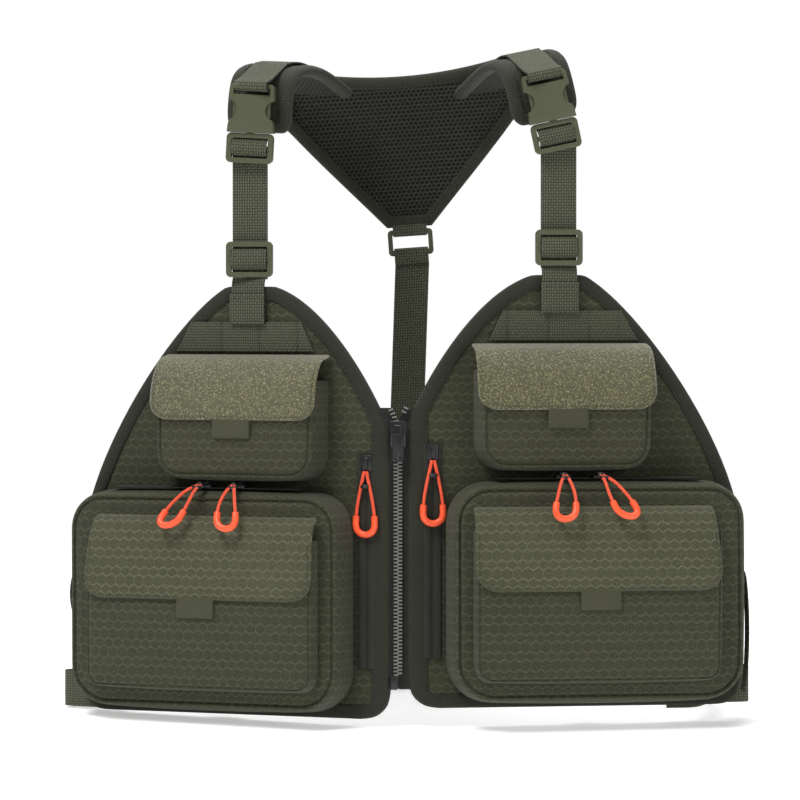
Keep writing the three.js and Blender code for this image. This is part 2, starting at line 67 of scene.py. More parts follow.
# ---------------------------------------------------------------- sizes, in millimetres
SIDES = {
    "left": dict(mirror=-1, edge=6.5, yaw=22, rise=0, strap_yaw=8, tilt=3, pad_yaw=12, fold=12),
    "right": dict(mirror=1, edge=8, yaw=9, rise=8, strap_yaw=4, tilt=12, pad_yaw=9, fold=1),
}
PANEL = dict(width=236, height=301, thick=5, tip=105.5, tip_half=18, edge_top=200, edge_foot=22)
UPPER_POCKET = dict(inner=46, width=121, foot=166, top=236, back=0.3, depth=28, corner=18)
UPPER_FLAP = dict(inner=43, outer=170, foot=208, brow=240, root=253, front=29.9, corner=14)
LOWER_POCKET = dict(inner=25, width=209, foot=4, top=160, back=0.3, depth=32, corner=26)
POUCH = dict(inner=40, width=173, foot=20, top=126, back=32.6, depth=13, corner=8)
LOWER_FLAP = dict(inner=38.5, outer=214, foot=83, brow=130, root=141, front=47.2, corner=16)
WEBBING = 25
GAP = 0.3


# ---------------------------------------------------------------- frames of the parts
def turned(axis, degrees):
    return Matrix.Rotation(math.radians(degrees), 4, axis)


def moved(x, y, z):
    return Matrix.Translation((x, y, z))


BODY = moved(0, -82, -452)


def side_frame(s):
    return BODY @ Matrix.Diagonal((s["mirror"], 1, 1, 1))


def panel_frame(s):
    return side_frame(s) @ moved(s["edge"], 0, s["rise"]) @ turned("Z", s["yaw"])


def column_frame(s):
    yaw = math.radians(s["yaw"])
    foot = (s["edge"] + PANEL["tip"] * math.cos(yaw), PANEL["tip"] * math.sin(yaw))
    return side_frame(s) @ moved(foot[0], foot[1] - 3, s["rise"]) @ turned("Z", s["strap_yaw"])


def catch_frame(s):
    return column_frame(s) @ moved(0, -1, 388) @ turned("Y", -s["tilt"])


def shoulder_frame(s):
    return catch_frame(s) @ moved(0, 0, 53.8) @ turned("Z", s["pad_yaw"])


YOKE = BODY @ moved(0, 166, 466) @ turned("X", 10) @ turned("Y", -4)
YOKE_LENGTH = 121
RING = YOKE @ moved(0, -4, -YOKE_LENGTH - 5.6)


def at(place, across, ahead, up):
    """A point of a part's own frame, in the row frame in metres."""
    return (place @ Vector((across, -ahead, up))) * MM


# ---------------------------------------------------------------- mesh helpers
def deselect():
    bpy.ops.object.select_all(action="DESELECT")


def activate(piece):
    deselect()
    piece.select_set(True)
    bpy.context.view_layer.objects.active = piece


def apply_modifier(piece, name):
    activate(piece)
    bpy.ops.object.modifier_apply(modifier=name)


def outward(piece):
    """Turns a closed shell's faces outwards."""
    activate(piece)
    bpy.ops.object.mode_set(mode="EDIT")
    bpy.ops.mesh.select_all(action="SELECT")
    bpy.ops.mesh.normals_make_consistent(inside=False)
    bpy.ops.object.mode_set(mode="OBJECT")


def smooth(piece, angle=40):
    activate(piece)
    bpy.ops.object.shade_smooth_by_angle(angle=math.radians(angle))


def from_data(name, points, faces, uvs=None):
    """A mesh whose points are in metres; uvs holds one (across, along) for each point."""
    data = bpy.data.meshes.new(name)
    data.from_pydata([tuple(p) for p in points], [], faces)
    piece = bpy.data.objects.new(name, data)
    bpy.context.scene.collection.objects.link(piece)
    if uvs:
        layer = data.uv_layers.new(name="UVMap")
        for loop in data.loops:
            layer.data[loop.index].uv = uvs[loop.vertex_index]
    return piece


def cloth_grid(name, columns, rows, put, size):
    """A flat grid whose point (s, t), each from 0 to 1, is moved to put(s, t); its map is in metres."""
    deselect()
    bpy.ops.mesh.primitive_grid_add(x_subdivisions=columns, y_subdivisions=rows, size=1)
    piece = bpy.context.object
    piece.name = name
    mesh = piece.data
    layer = mesh.uv_layers.active or mesh.uv_layers.new(name="UVMap")
    flat = [(v.co.x + 0.5, v.co.y + 0.5) for v in mesh.vertices]
    for loop in mesh.loops:
        s, t = flat[loop.vertex_index]
        layer.data[loop.index].uv = (s * size[0] * MM, t * size[1] * MM)
    for v, (s, t) in zip(mesh.vertices, flat):
        v.co = put(s, t)
    mesh.update()
    return piece


def face_towards(piece, direction):
    """Flips an open sheet if its faces look away from the direction."""
    total = Vector()
    for p in piece.data.polygons:
        total += p.normal * p.area
    if total.dot(direction) < 0:
        activate(piece)
        bpy.ops.object.mode_set(mode="EDIT")
        bpy.ops.mesh.select_all(action="SELECT")
        bpy.ops.mesh.flip_normals()
        bpy.ops.object.mode_set(mode="OBJECT")


def thicken(piece, thick, offset=-1.0, rim_material=0, back_material=0, bevel=0.0):
    m = piece.modifiers.new("Wall", "SOLIDIFY")
    m.thickness = thick * MM
    m.offset = offset
    m.material_offset = back_material
    m.material_offset_rim = rim_material
    apply_modifier(piece, "Wall")
    if bevel:
        b = piece.modifiers.new("Edge", "BEVEL")
        b.width = bevel * MM
        b.segments = 2
        b.limit_method = "ANGLE"
        b.angle_limit = math.radians(50)
        apply_modifier(piece, "Edge")


def subdivide(piece, levels=1):
    m = piece.modifiers.new("Finer", "SUBSURF")
    m.levels = levels
    m.render_levels = levels
    apply_modifier(piece, "Finer")


def box_map(piece, place):
    """Maps each face by the two directions of its part's frame that it lies along, in metres."""
    mesh = piece.data
    layer = mesh.uv_layers.active or mesh.uv_layers.new(name="UVMap")
    back = place.inverted()
    turn = back.to_3x3()
    local = [back @ (v.co / MM) for v in mesh.vertices]
    for poly in mesh.polygons:
        n = turn @ poly.normal
        axis = max(range(3), key=lambda i: abs(n[i]))
        pick = [(1, 2), (0, 1), (0, 2)][(0, 2, 1).index(axis)] if axis != 1 else (0, 2)
        if axis == 0:
            pick = (1, 2)
        elif axis == 2:
            pick = (0, 1)
        for i in poly.loop_indices:
            p = local[mesh.loops[i].vertex_index]
            layer.data[i].uv = (p[pick[0]] * MM + 5, p[pick[1]] * MM + 5)


def puff(piece, held, pressure=4.0, cap=5.0, limit=None, frames=16):
    """Fills a shell with air by a short cloth simulation; held points stay, and none moves past the cap."""
    before = [v.co.copy() for v in piece.data.vertices]
    group = piece.vertex_groups.new(name="held")
    group.add(held, 1.0, "REPLACE")
    cloth = piece.modifiers.new("Cloth", "CLOTH")
    facts = cloth.settings
    facts.quality = 4
    facts.use_pressure = True
    facts.uniform_pressure_force = pressure
    facts.vertex_group_mass = "held"
    facts.effector_weights.gravity = 0
    facts.tension_stiffness = 12
    facts.compression_stiffness = 12
    facts.bending_stiffness = 0.6
    cloth.point_cache.frame_end = frames
    for f in range(1, frames + 1):
        bpy.context.scene.frame_set(f)
    apply_modifier(piece, "Cloth")
    bpy.context.scene.frame_set(1)
    for v, was in zip(piece.data.vertices, before):
        step = v.co - was
        if step.length > cap * MM:
            v.co = was + step.normalized() * cap * MM
        if limit:
            v.co = limit(v.co)
    piece.vertex_groups.clear()


def tube(name, points, radius, closed=False, sides=3):
    """A round tube along the points, made a mesh."""
    curve = bpy.data.curves.new(name, "CURVE")
    curve.dimensions = "3D"
    spline = curve.splines.new("POLY")
    spline.points.add(len(points) - 1)
    for p, q in zip(spline.points, points):
        p.co = (*q, 1)
    spline.use_cyclic_u = closed
    curve.bevel_depth = radius * MM
    curve.bevel_resolution = sides
    curve.use_fill_caps = not closed
    piece = bpy.data.objects.new(name, curve)
    bpy.context.scene.collection.objects.link(piece)
    activate(piece)
    bpy.ops.object.convert(target="MESH")
    return bpy.context.object


def joined(name, pieces):
    activate(pieces[0])
    for p in pieces[1:]:
        p.select_set(True)
    if len(pieces) > 1:
        bpy.ops.object.join()
    piece = bpy.context.object
    piece.name = name
    piece.data.name = name
    return piece


def spline(points, count):
    """Evenly spaced points on a smooth line through the given ones."""
    pts = [Vector(p) for p in points]
    ends = [2 * pts[0] - pts[1], *pts, 2 * pts[-1] - pts[-2]]
    line = []
    for i in range(1, len(ends) - 2):
        a, b, c, d = ends[i - 1 : i + 3]
        for k in range(24):
            t = k / 24
            square = (2 * a - 5 * b + 4 * c - d) * t * t
            cube = (3 * b - a - 3 * c + d) * t**3
            line.append(0.5 * (2 * b + (c - a) * t + square + cube))
    line.append(pts[-1])
    return resample(line, count)


def resample(line, count, closed=False):
    if closed:
        line = [*line, line[0]]
    marks = [0.0]
    for a, b in zip(line, line[1:]):
        marks.append(marks[-1] + (Vector(b) - Vector(a)).length)
    made = []
    last = count if closed else count - 1
    k = 0
    for i in range(count):
        want = marks[-1] * i / last
        while k < len(marks) - 2 and marks[k + 1] < want:
            k += 1
        span = marks[k + 1] - marks[k] or 1
        made.append(Vector(line[k]).lerp(Vector(line[k + 1]), (want - marks[k]) / span))
    return made


def belt_of(name, line, across, width, thick, columns=4):
    """A webbing strip: line holds its middle in metres, across is its width direction at each point."""
    marks = [0.0]
    for a, b in zip(line, line[1:]):
        marks.append(marks[-1] + (b - a).length)
    rows = len(line) - 1

    def put(s, t):
        i = round(t * rows)
        side = across[i] if isinstance(across, list) else across
        return line[i] + side * ((s - 0.5) * width * MM)

    piece = cloth_grid(name, columns, rows, put, (width, marks[-1] / MM))
    layer = piece.data.uv_layers.active
    flat = {}
    for loop in piece.data.loops:
        uv = layer.data[loop.index].uv
        flat[loop.index] = (uv[0], marks[min(rows, round(uv[1] / (marks[-1] or 1) * rows))])
    for i, uv in flat.items():
        layer.data[i].uv = uv
    thicken(piece, thick, offset=0, bevel=thick * 0.3)
    outward(piece)
    smooth(piece, 55)
    return piece


stitch_points = {}


def stitches(body, line, normal, pitch=3.4, length=2.3, thick=0.55):
    """Marks a row of sewn stitches; they are made together, one mesh for each body."""
    total = sum((b - a).length for a, b in zip(line, line[1:])) / MM
    count = max(2, round(total / pitch))
    spots = resample(line, count)
    rows = stitch_points.setdefault(body, [])
    for a, b in zip(spots, spots[1:]):
        way = (b - a).normalized()
        rows.append(((a + b) / 2, way, normal.normalized(), length * MM, thick * MM))


def make_stitches(materials):
    for body, rows in stitch_points.items():
        points, faces = [], []
        for centre, way, up, length, thick in rows:
            side = way.cross(up).normalized()
            n = len(points)
            sunk = centre - up * thick * 0.3
            points += [sunk - way * length / 2, sunk + way * length / 2]
            for k in (-0.25, 0.25):
                mid = centre + way * length * k
                points += [mid + side * thick / 2, mid + up * thick * 0.45]
                points += [mid - side * thick / 2, mid - up * thick / 2]
            for j in range(4):
                k = (j + 1) % 4
                faces.append((n, n + 2 + j, n + 2 + k))
                faces.append((n + 2 + j, n + 6 + j, n + 6 + k, n + 2 + k))
                faces.append((n + 1, n + 6 + k, n + 6 + j))
        piece = from_data("stitches_" + body, points, faces)
        outward(piece)
        piece.data.polygons.foreach_set("use_smooth", [True] * len(piece.data.polygons))
        dress(piece, materials, body)


def dress(piece, materials, body, replaces=()):
    """Gives a finished piece its materials and its body, and hides the frame nodes that it stands for."""
    if not isinstance(materials, (list, tuple)):
        materials = [materials]
    kept = [p.material_index for p in piece.data.polygons] if piece.type == "MESH" else []
    piece.data.materials.clear()
    for m in materials:
        piece.data.materials.append(m)
    for p, i in zip(piece.data.polygons if kept else [], kept):
        p.material_index = min(i, len(materials) - 1)
    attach(piece, body)
    if replaces:
        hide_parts(*replaces)
    return piece


# ---------------------------------------------------------------- material groups
class Net:
    """Adds nodes to one tree and links them as it goes."""

    def __init__(self, tree):
        self.tree = tree

    def node(self, kind, **values):
        made = self.tree.nodes.new(kind)
        for key, value in values.items():
            setattr(made, key, value)
        return made

    def plug(self, socket, value):
        if isinstance(value, bpy.types.NodeSocket):
            self.tree.links.new(value, socket)
        elif value is not None:
            socket.default_value = value

    def math(self, operation, a, b=None, c=None, clamp=False):
        made = self.node("ShaderNodeMath", operation=operation, use_clamp=clamp)
        for socket, value in zip(made.inputs, (a, b, c)):
            self.plug(socket, value)
        return made.outputs[0]

    def vector(self, operation, a, b=None, c=None, scale=None):
        made = self.node("ShaderNodeVectorMath", operation=operation)
        for socket, value in zip(made.inputs, (a, b, c)):
            self.plug(socket, value)
        if scale is not None:
            self.plug(made.inputs["Scale"], scale)
        return made.outputs["Value"] if operation in ("DOT_PRODUCT", "LENGTH") else made.outputs[0]

    def split(self, vector):
        made = self.node("ShaderNodeSeparateXYZ")
        self.plug(made.inputs[0], vector)
        return made.outputs

    def step(self, value, low, high):
        made = self.node("ShaderNodeMapRange", interpolation_type="SMOOTHSTEP")
        self.plug(made.inputs["Value"], value)
        self.plug(made.inputs["From Min"], low)
        self.plug(made.inputs["From Max"], high)
        return made.outputs["Result"]

    def noise(self, vector, scale, detail=3.0, rough=0.55):
        made = self.node("ShaderNodeTexNoise")
        self.plug(made.inputs["Vector"], vector)
        self.plug(made.inputs["Scale"], scale)
        self.plug(made.inputs["Detail"], detail)
        self.plug(made.inputs["Roughness"], rough)
        return made.outputs["Fac"]

    def mix(self, factor, a, b):
        made = self.node("ShaderNodeMix", data_type="RGBA")
        self.plug(made.inputs[0], factor)
        self.plug(made.inputs[6], a)
        self.plug(made.inputs[7], b)
        return made.outputs[2]

    def blend(self, factor, a, b):
        made = self.node("ShaderNodeMix", data_type="FLOAT")
        self.plug(made.inputs[0], factor)
        self.plug(made.inputs[2], a)
        self.plug(made.inputs[3], b)
        return made.outputs[0]

    def group(self, tree, **values):
        made = self.node("ShaderNodeGroup")
        made.node_tree = tree
        for key, value in values.items():
            self.plug(made.inputs[key.replace("_", " ")], value)
        return made.outputs


def new_group(name, inputs, outputs):
    kinds = {"v": "NodeSocketVector", "f": "NodeSocketFloat", "c": "NodeSocketColor"}
    tree = bpy.data.node_groups.new(name, "ShaderNodeTree")
    for key, kind in inputs.items():
        tree.interface.new_socket(name=key, in_out="INPUT", socket_type=kinds[kind])
    for key, kind in outputs.items():
        tree.interface.new_socket(name=key, in_out="OUTPUT", socket_type=kinds[kind])
    net = Net(tree)
    return tree, net, net.node("NodeGroupInput").outputs, net.node("NodeGroupOutput").inputs


def honeycomb_group():
    """Ripstop honeycomb: a thin raised line round each cell, and a shade of its own for each cell."""
    tree, net, given, out = new_group(
        "Honeycomb ripstop", {"Place": "v", "Cell": "f", "Line": "f"}, {"Line": "f", "Cell shade": "f"}
    )
    inverse = net.math("DIVIDE", 1.0, given["Cell"])
    p = net.vector("SCALE", given["Place"], scale=inverse)
    period, half = (1.0, 1.7320508, 1.0), (0.5, 0.8660254, 0.5)

    def wrapped(v):
        made = net.node("ShaderNodeVectorMath", operation="WRAP")
        net.plug(made.inputs[0], v)
        made.inputs[1].default_value = period
        made.inputs[2].default_value = (0, 0, 0)
        return net.vector("SUBTRACT", made.outputs[0], half)

    a = wrapped(p)
    b = wrapped(net.vector("SUBTRACT", p, half))
    nearer = net.math("GREATER_THAN", net.vector("DOT_PRODUCT", a, a), net.vector("DOT_PRODUCT", b, b))
    pick = net.node("ShaderNodeMix", data_type="VECTOR")
    net.plug(pick.inputs[0], nearer)
    net.plug(pick.inputs[4], a)
    net.plug(pick.inputs[5], b)
    cell = pick.outputs[1]
    absolute = net.vector("ABSOLUTE", cell)
    slant = net.vector("DOT_PRODUCT", absolute, (0.5, 0.8660254, 0.0))
    reach = net.math("MAXIMUM", net.split(absolute)[0], slant)
    inner = net.math("SUBTRACT", 0.5, given["Line"])
    net.plug(out["Line"], net.step(reach, inner, 0.5))
    white = net.node("ShaderNodeTexWhiteNoise", noise_dimensions="3D")
    net.plug(white.inputs["Vector"], net.vector("SNAP", net.vector("SUBTRACT", p, cell), (0.25, 0.25, 9.0)))
    net.plug(out["Cell shade"], white.outputs["Value"])
    return tree


def weave_group():
    """Plain weave: threads that pass over and under each other."""
    sockets = {"Place": "v", "Thread": "f", "Aspect": "f"}
    tree, net, given, out = new_group("Plain weave", sockets, {"Height": "f"})
    x, y, _ = net.split(given["Place"])
    u = net.math("DIVIDE", x, given["Thread"])
    v = net.math("DIVIDE", y, net.math("MULTIPLY", given["Thread"], given["Aspect"]))
    warp = net.math("ABSOLUTE", net.math("SINE", net.math("MULTIPLY", u, math.pi)))
    weft = net.math("ABSOLUTE", net.math("SINE", net.math("MULTIPLY", v, math.pi)))
    total = net.math("ADD", net.math("FLOOR", u), net.math("FLOOR", v))
    over = net.math("FLOORED_MODULO", total, 2.0)
    up = net.math("MULTIPLY", warp, net.math("ADD", net.math("MULTIPLY", weft, 0.5), 0.5))
    flat = net.math("MULTIPLY", weft, net.math("ADD", net.math("MULTIPLY", warp, 0.5), 0.5))
    net.plug(out["Height"], net.blend(over, up, net.math("MULTIPLY", flat, 0.75)))
    return tree


def wear_group():
    """Uneven dye and handling: soft light and dark patches and fine dust."""
    tree, net, given, out = new_group(
        "Worn tone", {"Place": "v", "Colour": "c", "Strength": "f"}, {"Colour": "c", "Roughness": "f"}
    )
    broad = net.noise(given["Place"], 14.0, 4.0, 0.6)
    fine = net.noise(given["Place"], 900.0, 2.0, 0.6)
    mixed = net.math("ADD", net.math("MULTIPLY", broad, 0.65), net.math("MULTIPLY", fine, 0.35))
    swing = net.math("MULTIPLY", net.math("SUBTRACT", mixed, 0.5), given["Strength"])
    factor = net.math("ADD", 1.0, net.math("MULTIPLY", swing, 2.0))
    net.plug(out["Colour"], net.vector("SCALE", given["Colour"], scale=factor))
    net.plug(out["Roughness"], net.math("ADD", 0.82, net.math("MULTIPLY", swing, 0.5), clamp=True))
    return tree


def shader(name):
    material = bpy.data.materials.new(name)
    material.use_nodes = True
    net = Net(material.node_tree)
    return material, net, material.node_tree.nodes["Principled BSDF"]


def surface_map(net):
    return net.node("ShaderNodeTexCoord").outputs["UV"]


def object_map(net):
    return net.node("ShaderNodeTexCoord").outputs["Object"]


def bump(net, bsdf, height, distance, strength=1.0):
    made = net.node("ShaderNodeBump")
    made.inputs["Strength"].default_value = strength
    made.inputs["Distance"].default_value = distance
    net.plug(made.inputs["Height"], height)
    net.plug(bsdf.inputs["Normal"], made.outputs["Normal"])


HONEYCOMB = honeycomb_group()
WEAVE = weave_group()
WEAR = wear_group()


def ripstop(name, colour, line_colour, cell=0.0073, sheen=0.07, lift=0.0004):
    """Coated ripstop polyester with a raised honeycomb of thicker threads."""
    material, net, bsdf = shader(name)
    place = surface_map(net)
    comb = net.group(HONEYCOMB, Place=place, Cell=cell, Line=0.045)
    weave = net.group(WEAVE, Place=place, Thread=0.00055, Aspect=1.0)
    worn = net.group(WEAR, Place=object_map(net), Colour=colour, Strength=0.35)
    shade = net.math("ADD", 0.95, net.math("MULTIPLY", comb["Cell shade"], 0.08))
    ground = net.vector("SCALE", worn["Colour"], scale=shade)
    # Painted shade: the colour is darker where the weave lies low, between threads.
    thread = net.math("ADD", 0.72, net.math("MULTIPLY", weave["Height"], 0.5))
    ground = net.vector("SCALE", ground, scale=thread)
    grain = net.math("ADD", 0.2, net.math("MULTIPLY", net.noise(place, 650.0, 3.0), 1.6))
    ground = net.vector("SCALE", ground, scale=grain)
    broken = net.math("MULTIPLY", comb["Line"], net.noise(place, 420.0, 2.0))
    line = net.math("MULTIPLY", broken, 1.15, clamp=True)
    net.plug(bsdf.inputs["Base Color"], net.mix(line, ground, line_colour))
    net.plug(bsdf.inputs["Roughness"], worn["Roughness"])
    bsdf.inputs["Sheen Weight"].default_value = sheen
    bsdf.inputs["Sheen Roughness"].default_value = 0.45
    bsdf.inputs["Specular IOR Level"].default_value = 0.35
    fine = net.math("MULTIPLY", weave["Height"], 0.35)
    height = net.math("ADD", net.math("MULTIPLY", comb["Line"], 1.0), fine)
    bump(net, bsdf, height, lift)
    return material


def webbing(name, colour, thread=0.0018, aspect=1.1, contrast=1.0, depth=0.0006, own_map=True):
    """Woven nylon tape, its threads across and along its own map, painted darker in the gaps between threads
    as shade.
    """
    material, net, bsdf = shader(name)
    place = surface_map(net) if own_map else object_map(net)
    weave = net.group(WEAVE, Place=place, Thread=thread, Aspect=aspect)
    worn = net.group(WEAR, Place=object_map(net), Colour=colour, Strength=0.3)
    thread_gap_shade = net.math("ADD", 1.0 - contrast * 0.55, net.math("MULTIPLY", weave["Height"], contrast))
    net.plug(bsdf.inputs["Base Color"], net.vector("SCALE", worn["Colour"], scale=thread_gap_shade))
    net.plug(bsdf.inputs["Roughness"], worn["Roughness"])
    bsdf.inputs["Sheen Weight"].default_value = 0.05
    bsdf.inputs["Specular IOR Level"].default_value = 0.4
    bump(net, bsdf, weave["Height"], depth)
    return material


def loop_pile(name, colour, tip_colour):
    """Loop side of hook-and-loop tape: a dense mat of small curled threads."""
    material, net, bsdf = shader(name)
    place = object_map(net)
    fuzz = net.noise(place, 620.0, 5.0, 0.7)
    curl = net.node("ShaderNodeTexVoronoi", feature="F1")
    net.plug(curl.inputs["Vector"], place)
    curl.inputs["Scale"].default_value = 720.0
    curls = net.math("SUBTRACT", 1.0, curl.outputs["Distance"])
    mat = net.math("MULTIPLY", fuzz, curls)
    worn = net.group(WEAR, Place=place, Colour=colour, Strength=0.35)
    # The pile's own mottle, with the raised loop tips painted lighter as highlight and the hollows darker as
    # shade.
    tips = net.step(mat, 0.22, 0.55)
    net.plug(bsdf.inputs["Base Color"], net.mix(tips, worn["Colour"], tip_colour))
    bsdf.inputs["Roughness"].default_value = 0.95
    bsdf.inputs["Sheen Weight"].default_value = 0.5
    bsdf.inputs["Sheen Roughness"].default_value = 0.6
    bsdf.inputs["Specular IOR Level"].default_value = 0.15
    bump(net, bsdf, mat, 0.0012)
    return material


def spacer_mesh(name, colour, hole_shade_colour):
    """Knitted spacer mesh: rows of small open cells, painted near-black as the shade inside them."""
    material, net, bsdf = shader(name)
    place = surface_map(net)
    comb = net.group(HONEYCOMB, Place=place, Cell=0.0034, Line=0.24)
    worn = net.group(WEAR, Place=object_map(net), Colour=colour, Strength=0.4)
    knit = net.group(WEAVE, Place=place, Thread=0.0005, Aspect=1.0)
    # Painted shade: the knit is darker where it lies low between its threads.
    knit_gap_shade = net.math("ADD", 0.6, net.math("MULTIPLY", knit["Height"], 0.7))
    rib = net.vector("SCALE", worn["Colour"], scale=knit_gap_shade)
    net.plug(bsdf.inputs["Base Color"], net.mix(comb["Line"], hole_shade_colour, rib))
    bsdf.inputs["Roughness"].default_value = 0.85
    bsdf.inputs["Specular IOR Level"].default_value = 0.25
    height = net.math("ADD", comb["Line"], net.math("MULTIPLY", knit["Height"], 0.15))
    bump(net, bsdf, height, 0.0011)
    return material


def plastic(name, colour, rough=0.38, grain=0.00006, scale=2600.0):
    """Moulded acetal with a faint spark texture, rubbed smoother in places."""
    material, net, bsdf = shader(name)
    place = object_map(net)
    spark = net.noise(place, scale, 2.0, 0.6)
    rub = net.noise(place, 70.0, 3.0)
    worn = net.group(WEAR, Place=place, Colour=colour, Strength=0.14)
    net.plug(bsdf.inputs["Base Color"], worn["Colour"])
    net.plug(bsdf.inputs["Roughness"], net.math("ADD", rough - 0.08, net.math("MULTIPLY", rub, 0.2)))
    bsdf.inputs["Specular IOR Level"].default_value = 0.5
    bump(net, bsdf, spark, grain)
    return material


def metal(name, colour, rough=0.35):
    """Small plated wire and teeth, a little scuffed."""
    material, net, bsdf = shader(name)
    place = object_map(net)
    scuff = net.noise(place, 800.0, 3.0)
    worn = net.group(WEAR, Place=place, Colour=colour, Strength=0.4)
    net.plug(bsdf.inputs["Base Color"], worn["Colour"])
    bsdf.inputs["Metallic"].default_value = 0.85
    net.plug(bsdf.inputs["Roughness"], net.math("ADD", rough - 0.1, net.math("MULTIPLY", scuff, 0.25)))
    bump(net, bsdf, scuff, 0.00004)
    return material


def braid(name, colour, dark):
    """Thin braided cord: slanting strands round the cord, from its own place in the row frame."""
    material, net, bsdf = shader(name)
    place = object_map(net)
    wave = net.node("ShaderNodeTexWave", wave_type="BANDS", bands_direction="DIAGONAL")
    net.plug(wave.inputs["Vector"], place)
    wave.inputs["Scale"].default_value = 320.0
    wave.inputs["Distortion"].default_value = 1.2
    fibre = net.noise(place, 2200.0, 2.0)
    # Painted shade: the cord is darker in the grooves between its strands.
    tone = net.math("MULTIPLY", net.math("SUBTRACT", 1.0, wave.outputs["Fac"]), 0.55)
    net.plug(bsdf.inputs["Base Color"], net.mix(tone, colour, dark))
    bsdf.inputs["Roughness"].default_value = 0.55
    bsdf.inputs["Sheen Weight"].default_value = 0.15
    bump(net, bsdf, net.math("ADD", wave.outputs["Fac"], net.math("MULTIPLY", fibre, 0.4)), 0.0003)
    return material


OLIVE = (0.043, 0.045, 0.0225, 1)
FABRIC = ripstop("olive honeycomb ripstop", OLIVE, (0.092, 0.096, 0.053, 1))
# A lighter copy of the olive ripstop for the cargo flaps: painted light where the flaps face up to the
# lamps.
LIT_FLAP_FABRIC = ripstop("honeycomb ripstop painted lighter for lit flaps", (0.068, 0.07, 0.037, 1), (0.15, 0.155, 0.09, 1))
# A darker copy of the olive ripstop: painted shade on the cargo flap undersides and rims, the shoulder pads
# and the yoke's rear.
SHADED_SIDE_CLOTH = ripstop("side cloth painted darker for shade", (0.024, 0.0255, 0.013, 1), (0.036, 0.038, 0.02, 1), lift=0.0002)
PILE = loop_pile("loop pile", (0.068, 0.066, 0.025, 1), (0.31, 0.295, 0.13, 1))
TAPE = webbing("shoulder webbing", (0.075, 0.08, 0.048, 1), contrast=1.5)
# Edge binding in its own darker tone, darkened further as painted shade.
BINDING_TONE_AND_SHADE = webbing(
    "edge binding, own dark tone and painted shade", (0.022, 0.024, 0.0125, 1), thread=0.0017, aspect=0.5, contrast=0.75,
    depth=0.0004,
)
PULL_TAPE = webbing("pull tab tape", (0.075, 0.078, 0.04, 1), thread=0.0009, aspect=0.6, contrast=0.4)
LINING = spacer_mesh("spacer mesh", (0.05, 0.053, 0.036, 1), (0.006, 0.006, 0.005, 1))
BUCKLE = plastic("olive acetal", (0.075, 0.08, 0.042, 1))
BLACK = plastic("black zip slider", (0.012, 0.012, 0.013, 1), rough=0.3)
ZIP_TAPE = webbing("zip tape", (0.02, 0.021, 0.018, 1), thread=0.0009, aspect=0.7, contrast=0.6)
# Dark gunmetal teeth, their colour lifted lighter as a painted highlight for their glints.
TEETH = plastic("moulded zip teeth", (0.15, 0.155, 0.14, 1), rough=0.3)
COIL = plastic("zip coil", (0.016, 0.016, 0.016, 1), rough=0.4)
THREAD = webbing(
    "sewing thread", (0.06, 0.065, 0.04, 1), thread=0.0005, aspect=1.0, contrast=0.4,
    own_map=False,
)
LIP = webbing("zip welt", (0.028, 0.03, 0.019, 1), thread=0.0012, aspect=0.7, contrast=0.5)
ORANGE = braid("orange cord", (1.0, 0.105, 0.03, 1), (0.7, 0.04, 0.01, 1))
ORANGE_END = plastic("orange moulded end", (1.0, 0.11, 0.035, 1), rough=0.32)
WIRE = metal("dark wire", (0.12, 0.12, 0.12, 1))


